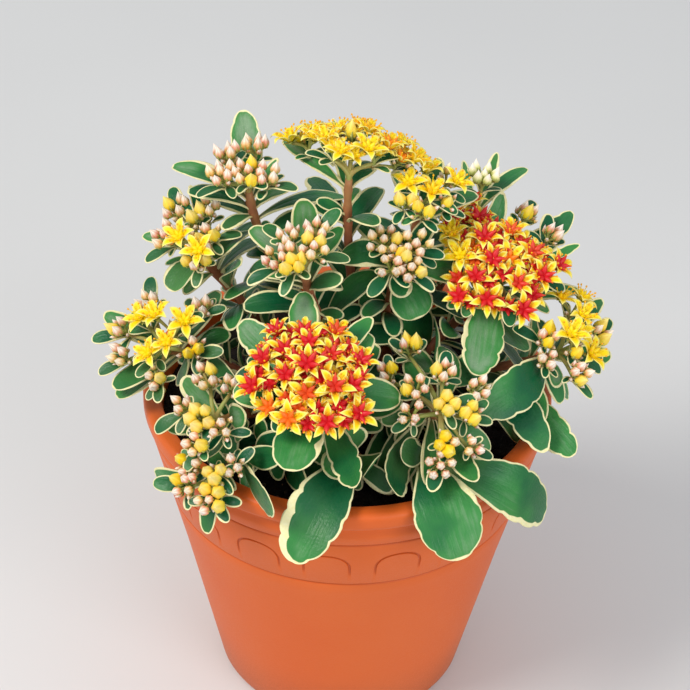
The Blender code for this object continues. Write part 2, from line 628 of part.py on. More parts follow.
def clear_scene():
    for thing in list(bpy.data.objects):
        bpy.data.objects.remove(thing)
    for name in ("potted_sedum", CUTTERS):
        old = bpy.data.collections.get(name)
        if old:
            bpy.data.collections.remove(old)
        bpy.context.scene.collection.children.link(bpy.data.collections.new(name))


def new_object(name, mesh, collection="potted_sedum"):
    made = bpy.data.objects.new(name, mesh)
    bpy.data.collections[collection].objects.link(made)
    return made


def paint(part, colour, roughness):
    surface = bpy.data.materials.new(part.name + "_surface")
    surface.use_nodes = True
    shader = surface.node_tree.nodes["Principled BSDF"]
    shader.inputs["Base Color"].default_value = (*colour, 1.0)
    shader.inputs["Roughness"].default_value = roughness
    shader.inputs["Metallic"].default_value = 0.0
    part.data.materials.clear()
    part.data.materials.append(surface)


class Solid:
    """A closed surface grown by lofts from ring to ring and from its own facets."""

    def __init__(self):
        self.form = bmesh.new()

    def ring(self, points):
        return [self.form.verts.new(Vector(p) * MM) for p in points]

    def face(self, *corners):
        self.form.faces.new(corners)

    def quads(self, low, high, left_open=()):
        """Joins two rings of like counts, but for the facets left open."""
        for k in range(len(low)):
            after = (k + 1) % len(low)
            if k not in left_open:
                self.face(low[k], high[k], high[after])
                self.face(low[k], high[after], low[after])

    def stitch(self, low, high):
        """Joins two rings of unlike counts, from where they lie closest."""
        n, m = len(low), len(high)
        apart = [sum((low[i].co - high[(i * m // n + r) % m].co).length for i in range(n)) for r in range(m)]
        first = apart.index(min(apart))
        i = j = 0
        while i < n or j < m:
            if j * n <= i * m and j < m or i == n:
                self.face(low[i % n], high[(j + first) % m], high[(j + 1 + first) % m])
                j += 1
            else:
                self.face(low[i % n], high[(j + first) % m], low[(i + 1) % n])
                i += 1

    def tip(self, ring, point):
        top = self.form.verts.new(Vector(point) * MM)
        for k in range(len(ring)):
            self.face(ring[k], top, ring[(k + 1) % len(ring)])

    def finish(self, name):
        bmesh.ops.triangulate(self.form, faces=[f for f in self.form.faces if len(f.verts) > 3])
        bmesh.ops.recalc_face_normals(self.form, faces=self.form.faces)
        mesh = bpy.data.meshes.new(name)
        self.form.to_mesh(mesh)
        self.form.free()
        return new_object(name, mesh)


def turned(name, profile, steps):
    """A profile of radii and heights, top to bottom down its outer side, turned round Z."""
    mesh = bpy.data.meshes.new(name)
    points = [(r * MM, 0.0, z * MM) for r, z in profile]
    mesh.from_pydata(points, [(k, k + 1) for k in range(len(points) - 1)], [])
    body = new_object(name, mesh)
    screw = body.modifiers.new("turn", "SCREW")
    screw.axis = "Z"
    screw.steps = steps
    screw.render_steps = steps
    screw.use_merge_vertices = True
    screw.merge_threshold = 0.00001
    return body


def cut(body, name, meshes):
    """Takes the cutters' shapes out of a body, and keeps them in their own collection."""
    crowd = bpy.data.collections.new(name)
    bpy.data.collections[CUTTERS].children.link(crowd)
    for k, mesh in enumerate(meshes):
        cutter = bpy.data.objects.new(f"{name}_{k}", mesh)
        crowd.objects.link(cutter)
        cutter.hide_render = True
        cutter.display_type = "WIRE"
    hole = body.modifiers.new("holes", "BOOLEAN")
    hole.operation = "DIFFERENCE"
    hole.operand_type = "COLLECTION"
    hole.collection = crowd
    hole.solver = "EXACT"


def rod(centre, radius, bottom, top, sides, name):
    form = bmesh.new()
    bmesh.ops.create_cone(form, cap_ends=True, segments=sides, radius1=radius * MM, radius2=radius * MM,
                          depth=(top - bottom) * MM)
    bmesh.ops.translate(form, verts=form.verts, vec=Vector((*centre, (top + bottom) * 0.5)) * MM)
    mesh = bpy.data.meshes.new(name)
    form.to_mesh(mesh)
    form.free()
    return mesh


def make_pot():
    neck = POT_HEIGHT - RIM_ROLL - 0.4
    outer = [(RIM_RADIUS - RIM_ROLL + 0.9, POT_HEIGHT), (RIM_RADIUS - 1.5, POT_HEIGHT),
             (RIM_RADIUS, POT_HEIGHT - 1.6), (RIM_RADIUS, neck + 1.4), (RIM_RADIUS - 1.0, neck),
             (cone_radius(neck) - NECK_STEP, neck - 0.4), (cone_radius(neck - 3.0) - 0.5, neck - 3.4)]
    for level in GROOVE_LEVELS:
        outer += [(cone_radius(level + 0.7), level + 0.7), (cone_radius(level) - GROOVE, level),
                  (cone_radius(level - 0.7), level - 0.7)]
    knee = cone_radius(WALL_KNEE)
    outer += [(knee, WALL_KNEE), (BASE_RADIUS, 1.2), (BASE_RADIUS - 1.2, 0.0), (0.0, 0.0)]
    inner = [(0.0, POT_FLOOR), (cone_radius(POT_FLOOR) - POT_WALL, POT_FLOOR), (knee - POT_WALL, WALL_KNEE),
             (RIM_RADIUS - RIM_ROLL - 0.4, neck - 4.0), (RIM_RADIUS - RIM_ROLL, POT_HEIGHT - 1.0)]
    pot = turned("pot", outer + inner + outer[:1], POT_SIDES)
    pot.data.shade_smooth()
    holes = []
    for k in range(DRAIN_HOLES):
        turn = 2.0 * math.pi * (k + 0.25) / DRAIN_HOLES
        centre = (DRAIN_RING * math.cos(turn), DRAIN_RING * math.sin(turn))
        holes.append(rod(centre, DRAIN_RADIUS, -2.0, POT_FLOOR + 2.0, 10, f"drain_{k}"))
    cut(pot, "drain_cutters", holes)
    paint(pot, (0.62, 0.17, 0.055), 0.45)


def make_soil(plants):
    low, knee = cone_radius(POT_FLOOR) - POT_WALL, cone_radius(WALL_KNEE) - POT_WALL
    high, high_level = RIM_RADIUS - RIM_ROLL - 0.4, POT_HEIGHT - RIM_ROLL - 4.4

    def wall(z):
        inside = np.interp(z, (POT_FLOOR, WALL_KNEE, high_level), (low, knee, high))
        return float(inside) - SOIL_GAP

    bottom = POT_FLOOR + SOIL_GAP
    profile = [(out, SOIL_TOP) for out in (0.0, 20.0, 38.0, 52.0)]
    profile += [(wall(SOIL_TOP), SOIL_TOP - 0.6), (wall(WALL_KNEE), WALL_KNEE), (wall(bottom), bottom)]
    profile.append((0.0, bottom))
    soil = turned("soil", profile, POT_SIDES)
    bpy.context.view_layer.update()
    mesh = bpy.data.meshes.new_from_object(soil.evaluated_get(bpy.context.evaluated_depsgraph_get()))
    soil.modifiers.clear()
    soil.data = mesh
    for vertex in mesh.vertices:
        x, y, z = vertex.co / MM
        if z > SOIL_TOP - 0.3:
            lump = math.sin(0.31 * x + 1.0) * math.cos(0.27 * y) + 0.5 * math.sin(0.23 * (x + y))
            vertex.co.z += SOIL_LUMPS * lump * MM
    bottom = SOIL_TOP - STEM_SUNK - SOIL_GAP
    wide = (STEM_BASE + SOIL_GAP) / math.cos(math.pi / 6) + 0.05
    holes = [rod(plant.stem[0][:2], wide, bottom, SOIL_TOP + 5.0, 6, "hole_" + plant.name) for plant in plants]
    cut(soil, "stem_cutters", holes)
    paint(soil, (0.028, 0.018, 0.012), 0.95)


def grow_leaf(solid, facet, blade):
    """A leaf that grows out of one facet of its stem."""
    ring = facet
    for points in leaf_rings(blade):
        after = solid.ring(points)
        solid.quads(ring, after)
        ring = after
    solid.face(*ring)


def band_ring(plant, at):
    """The stem's four corners at a place along it."""
    if at <= 0.0:
        axis = UP
    elif at >= 1.0:
        axis = plant.axis
    else:
        axis = unit(bezier(plant.stem, at + 0.01) - bezier(plant.stem, at - 0.01))
    return circle(bezier(plant.stem, at), axis, STEM_BASE + (STEM_TIP - STEM_BASE) * at, even(4))


def choose_facet(plant, blade, band, taken, trees):
    """The band and side of the stem that a leaf grows from, near its place and clear of others."""
    level = max(0, int((0.995 - blade.at) / band))
    choices = []
    for more in (0, 1, -1, 2, -2, 3, 4, 5):
        if level + more < 0:
            continue
        at = 0.995 - (level + more + 0.5) * band
        axis = unit(bezier(plant.stem, at + 0.01) - bezier(plant.stem, at - 0.01))
        side, other = sides_of(axis)
        away = blade.tip - bezier(plant.stem, at)
        turn = math.atan2(away @ other, away @ side) % (2.0 * math.pi)
        for k in range(4):
            miss = abs((turn - (k + 0.5) * 0.5 * math.pi + math.pi) % (2.0 * math.pi) - math.pi)
            if (level + more, k) not in taken:
                choices.append((miss + 0.4 * abs(more), level + more, k))
    rings = leaf_rings(blade)
    tries = []
    for cost, level, k in sorted(choices)[:14]:
        low = band_ring(plant, 0.995 - (level + 1) * band)
        high = band_ring(plant, 0.995 - level * band)
        after = (k + 1) % 4
        tree = leaf_tree([high[after], high[k], low[k], low[after]], rings)
        crossings = sum(len(tree.overlap(there)) for there in trees)
        tries.append((crossings, cost, level, k, tree))
        if crossings == 0:
            break
    crossings, cost, level, k, tree = min(tries, key=lambda one: one[:4])
    trees.append(tree)
    return level, k


def steepness(plant, blade):
    ahead = unit(bezier(plant.stem, min(1.0, blade.at + 0.01)) - bezier(plant.stem, blade.at - 0.01))
    return unit(blade.tip - blade.root) @ ahead


def make_shoot(plant, head):
    """A four-sided stem in bands, with each leaf grown from the facet that faces its way."""
    path = [bezier(plant.stem, t) for t in np.linspace(0.0, 1.0, 41)]
    length = sum(np.linalg.norm(b - a) for a, b in zip(path, path[1:]))
    band = LEAF_BAND / length
    taken = {}
    rings = [band_ring(plant, at) for at in np.linspace(0.0, 1.0, 9)]
    faces = [tuple(4 * k + n for n in face) for k in range(8) for face in between(rings[0], rings[0])]
    trees = [BVHTree.FromPolygons([tuple(p) for ring in rings for p in ring], faces)]
    if head:
        points = [tuple(v.co / MM) for v in head.data.vertices]
        trees += [BVHTree.FromPolygons(points, [p.vertices for p in head.data.polygons], epsilon=0.2)] * 9
    for blade in sorted(plant.blades, key=lambda one: -one.at * length - 3.0 * steepness(plant, one)):
        taken[choose_facet(plant, blade, band, taken, trees)] = blade
    solid = Solid()
    levels = sorted({level for level, _ in taken}, reverse=True)
    cuts = []
    for level in levels:
        cuts += [(0.995 - (level + 1) * band, level), (0.995 - level * band, None)]
    rings = [(0.0, None)]
    for at, level in cuts:
        if rings[-1][1] is None and abs(at - rings[-1][0]) < 1e-6:
            rings[-1] = (rings[-1][0], level)
            continue
        while rings[-1][1] is None and at - rings[-1][0] > 0.3:
            rings.append((rings[-1][0] + (at - rings[-1][0]) / math.ceil((at - rings[-1][0]) / 0.3), None))
        rings.append((at, level))
    while 1.0 - rings[-1][0] > 0.3:
        rings.append((rings[-1][0] + (1.0 - rings[-1][0]) / math.ceil((1.0 - rings[-1][0]) / 0.3), None))
    rings.append((1.0, None))
    low = solid.ring(circle(plant.stem[0] - UP * STEM_SUNK, UP, STEM_BASE, even(4)))
    solid.face(*low)
    below = None
    for at, level in rings:
        high = solid.ring(band_ring(plant, at))
        holes = [k for k in range(4) if below is not None and (below, k) in taken]
        solid.quads(low, high, holes)
        for k in holes:
            after = (k + 1) % 4
            grow_leaf(solid, [high[after], high[k], low[k], low[after]], taken[below, k])
        low, below = high, level
    solid.face(*low)
    shoot = solid.finish("leafy_stem_" + plant.name)
    paint(shoot, (0.06, 0.16, 0.055), 0.5)


def grow_bloom(solid, sector, bloom):
    """An open flower: five pointed petals round a crown of five spreading carpels, on its stalk."""
    under, tips, dips, crown = bloom_rings(bloom)
    under = solid.ring(under)
    solid.stitch(sector, under)
    petals = solid.ring([point for pair in zip(tips, dips) for point in pair])
    solid.stitch(under, petals)
    crown = solid.ring(crown)
    solid.stitch(crown, petals)
    solid.tip(crown, bloom.heart + bloom.axis * 1.0)


def grow_bud(solid, sector, bud):
    ring = sector
    if bud.ripe:
        neck = solid.ring(circle(bud.seat, bud.axis, 0.9, even(4)))
        solid.stitch(ring, neck)
        ring = neck
    wide = solid.ring(circle(bud.seat + bud.axis * bud.length * 0.42, bud.axis, bud.radius * 1.12, even(4)))
    if bud.ripe:
        solid.quads(ring, wide)
    else:
        solid.stitch(ring, wide)
    solid.tip(wide, bud.seat + bud.axis * bud.length)


def sectors(solid, ring, centre):
    """A ring's cap as three-cornered facets round its centre, for stalks to grow from."""
    hub = solid.form.verts.new(Vector(centre) * MM)
    return [[hub, ring[k], ring[(k + 1) % len(ring)]] for k in range(len(ring))]


def band_facets(ring, inner):
    """The facets between a ring and a smaller one inside it, left open for stalks to grow from."""
    after = ring[1:] + ring[:1]
    return [[near, low, high, far] for near, low, high, far in zip(inner, ring, after, inner[1:] + inner[:1])]


def split_round(turns):
    """Turns halfway between each of these, which are in order, and the one before it."""
    halves = []
    for k, turn in enumerate(turns):
        before = turns[k - 1] - (2.0 * math.pi if k == 0 else 0.0)
        halves.append((turn + before) * 0.5)
    return halves


def turn_of(point, centre, axis):
    side, other = sides_of(axis)
    away = point - centre
    return math.atan2(away @ other, away @ side) % (2.0 * math.pi)


def grow_ray(solid, root, ray):
    """A ray from a facet of the head's base, forking into its flowers and buds."""
    items = sorted(ray.ringed, key=lambda one: turn_of(place_of(one), ray.fork, ray.lean))
    grow = {Bloom: grow_bloom, Bud: grow_bud}
    if len(items) + len(ray.middle) == 1:
        one = (items + ray.middle)[0]
        grow[type(one)](solid, root, one)
        return
    turns = [turn_of(place_of(one), ray.fork, ray.lean) for one in items]
    count = len(items)
    if count == 2:
        middle = turns[0] + (turns[1] - turns[0]) * 0.5
        spread = [turns[0], middle, turns[1], middle + math.pi]
        ring = solid.ring(circle(ray.fork, ray.lean, 1.1, spread))
        solid.stitch(root, ring)
        facets = [[ring[3], ring[0], ring[1]], [ring[1], ring[2], ring[3]]]
    else:
        wide = 1.1 if count < 4 else 1.5
        ring = solid.ring(circle(ray.fork, ray.lean, wide, split_round(turns)))
        solid.stitch(root, ring)
        if ray.middle:
            inner = solid.ring(circle(ray.fork + ray.lean * 0.3, ray.lean, 0.6, split_round(turns)))
            facets = band_facets(ring, inner)
            grow[type(ray.middle[0])](solid, inner, ray.middle[0])
        else:
            facets = sectors(solid, ring, ray.fork + ray.lean * 0.3)
    for facet, one in zip(facets, items):
        grow[type(one)](solid, facet, one)


def place_of(item):
    return item.heart if isinstance(item, Bloom) else item.seat


def make_head(plant):
    """A cyme: rays from a short knob on the stem's end, forking into stalks with a flower or bud each."""
    solid = Solid()
    rays = [ray for ray in plant.rays if ray.middle or ray.ringed]
    rays.sort(key=lambda ray: turn_of(ray.fork, plant.base, plant.axis))
    if len(rays) < 3:
        ring = solid.ring(circle(plant.base, plant.axis, STEM_TIP, even(5)))
        solid.face(*ring)
        grow_ray(solid, ring, rays[0])
    else:
        off = [np.linalg.norm(np.cross(ray.fork - plant.base, plant.axis)) for ray in rays]
        central = rays.pop(off.index(min(off))) if min(off) < 5.0 and len(rays) > 3 else None
        halves = split_round([turn_of(ray.fork, plant.base, plant.axis) for ray in rays])
        foot = solid.ring(circle(plant.base, plant.axis, STEM_TIP, halves))
        solid.face(*foot)
        ring = solid.ring(circle(plant.base + plant.axis * 1.8, plant.axis, 2.2, halves))
        solid.quads(foot, ring)
        if central:
            inner = solid.ring(circle(plant.base + plant.axis * 2.4, plant.axis, 0.9, halves))
            facets = band_facets(ring, inner)
            grow_ray(solid, inner, central)
        else:
            facets = sectors(solid, ring, plant.base + plant.axis * 2.4)
        for facet, ray in zip(facets, rays):
            grow_ray(solid, facet, ray)
    head = solid.finish("head_" + plant.name)
    blooms = sum(isinstance(one, Bloom) for ray in rays for one in ray.ringed)
    paint(head, (0.8, 0.42, 0.03) if blooms > 3 else (0.75, 0.5, 0.32), 0.45)
    return head


def main():
    clear_scene()
    plants = grow()
    make_pot()
    make_soil(plants)
    for plant in plants:
        make_shoot(plant, make_head(plant) if plant.rays else None)


main()
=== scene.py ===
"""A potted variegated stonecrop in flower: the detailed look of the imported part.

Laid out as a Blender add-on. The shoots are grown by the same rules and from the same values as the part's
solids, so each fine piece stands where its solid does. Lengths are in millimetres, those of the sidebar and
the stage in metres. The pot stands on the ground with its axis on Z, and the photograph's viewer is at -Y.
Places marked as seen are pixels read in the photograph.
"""
import copy
import functools
import itertools
import json
import math
import random
from typing import NamedTuple

import bmesh
import bpy
import numpy as np
from bpy.props import FloatProperty, FloatVectorProperty, IntProperty, PointerProperty
from mathutils import Matrix, Vector
from mathutils.bvhtree import BVHTree


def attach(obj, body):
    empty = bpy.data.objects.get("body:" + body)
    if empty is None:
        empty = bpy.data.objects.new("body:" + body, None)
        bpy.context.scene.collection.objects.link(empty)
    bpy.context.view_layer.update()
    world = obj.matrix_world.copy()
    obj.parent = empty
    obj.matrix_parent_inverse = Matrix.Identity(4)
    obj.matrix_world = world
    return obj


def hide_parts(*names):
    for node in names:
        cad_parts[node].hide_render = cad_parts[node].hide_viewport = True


bl_info = {
    "name": "Potted Stonecrop",
    "version": (1, 0, 0),
    "blender": (4, 5, 0),
    "location": "View3D > Sidebar > Stonecrop",
    "description": "Grows a variegated stonecrop in its pot around the packed solids",
    "category": "Object",
}

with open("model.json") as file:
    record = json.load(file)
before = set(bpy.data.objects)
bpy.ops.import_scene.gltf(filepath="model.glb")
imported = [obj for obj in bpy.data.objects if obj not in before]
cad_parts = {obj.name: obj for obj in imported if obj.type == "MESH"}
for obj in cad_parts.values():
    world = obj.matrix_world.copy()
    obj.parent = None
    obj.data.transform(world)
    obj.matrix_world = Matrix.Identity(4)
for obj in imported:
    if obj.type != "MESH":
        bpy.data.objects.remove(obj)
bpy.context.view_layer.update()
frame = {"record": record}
MM = 0.001

# The pot, in millimetres
POT_HEIGHT = 120.0
RIM_RADIUS = 70.0
RIM_ROLL = 6.0
RIM_LEVEL = 116.5
BASE_RADIUS = 44.0
SOIL_DROP = 11.0
SOIL_TOP = POT_HEIGHT - SOIL_DROP
POT_WALL = 2.6
POT_FLOOR = 3.2
DRAIN_HOLES = 5
DRAIN_RADIUS = 4.0
DRAIN_RING = 27.0
NECK_STEP = 1.6
WALL_RADIUS = 69.8      # the outer wall carried on up to the rim's level
WALL_SLOPE = 0.23       # of its upper part
WALL_KNEE = 60.0        # height below which it narrows a little faster
GROOVE = 0.5            # depth of the two grooves round the pot
GROOVE_LEVELS = (105.1, 83.4)

# The photograph's view of it
VIEW_ELEVATION = math.radians(37.2)
VIEW_ROLL = math.radians(1.7)
VIEW_DISTANCE = 745.0
VIEW_FOCAL = 2200.0
VIEW_CENTRE = 345.0
VIEW_TARGET = np.array((-1.3, 0.0, 135.7))
FORWARD = np.array((0.0, math.cos(VIEW_ELEVATION), -math.sin(VIEW_ELEVATION)))
UPWARD = np.array((0.0, math.sin(VIEW_ELEVATION), math.cos(VIEW_ELEVATION)))
RIGHT = np.array((1.0, 0.0, 0.0))
UP = np.array((0.0, 0.0, 1.0))
EYE = VIEW_TARGET - VIEW_DISTANCE * FORWARD


def sight(pixel):
    """The way from the camera to what the photograph shows at that pixel."""
    across, rise = pixel[0] - VIEW_CENTRE, VIEW_CENTRE - pixel[1]
    turn, lean = math.cos(VIEW_ROLL), math.sin(VIEW_ROLL)
    u, v = across * turn - rise * lean, across * lean + rise * turn
    return FORWARD + (RIGHT * u + UPWARD * v) / VIEW_FOCAL


def seen_at(pixel, height):
    """The point at that height which the photograph shows at that pixel."""
    ray = sight(pixel)
    return EYE + ray * (height - EYE[2]) / ray[2]


def seen_on(pixel, point, normal):
    """The point of a plane which the photograph shows at that pixel."""
    ray = sight(pixel)
    return EYE + ray * ((point - EYE) @ normal) / (ray @ normal)


def unit(v):
    """The same direction, 1 long."""
    v = np.asarray(v, float)
    return v / np.linalg.norm(v)


def bezier(points, t):
    """A point of the curve that these control points draw, at t from 0 to 1."""
    points = [np.asarray(p, float) for p in points]
    while len(points) > 1:
        points = [a * (1 - t) + b * t for a, b in zip(points, points[1:])]
    return points[0]


class Cluster(NamedTuple):
    """One ray of a cyme: its flowers and buds crowd round one point."""
    seen: tuple         # pixel of its middle
    blooms: int
    buds: int
    ripe: float = 0.25  # share of the buds that are yellow and about to open
    age: float = 0.0    # 0: centres still yellow, 1: dark red


class Leaf(NamedTuple):
    """A leaf that the photograph shows."""
    tip: tuple          # pixel where its tip shows
    rise: float         # height of the tip over the leaf's root, mm
    width: float        # mm
    at: float = 0.95    # place of its root along the stem
    arch: float = 0.12  # bulge of the midrib over its chord, share of the length
    face: float = 0.0   # 1 turns its upper side to the viewer


class Shoot(NamedTuple):
    """A stem, with the head and the leaves that are seen on it."""
    name: str
    foot: tuple         # where it leaves the soil, mm
    seen: tuple         # pixel of the middle of its head
    height: float       # of the head over the pot's rim, mm
    toward: float       # lean of the head towards the viewer, degrees
    right: float        # and to the viewer's right
    clusters: tuple
    leaves: tuple
    stalk: float = 13.0  # from its head's middle down to its upper end, mm
    fill: int = 7       # leaves lower down, placed by rule


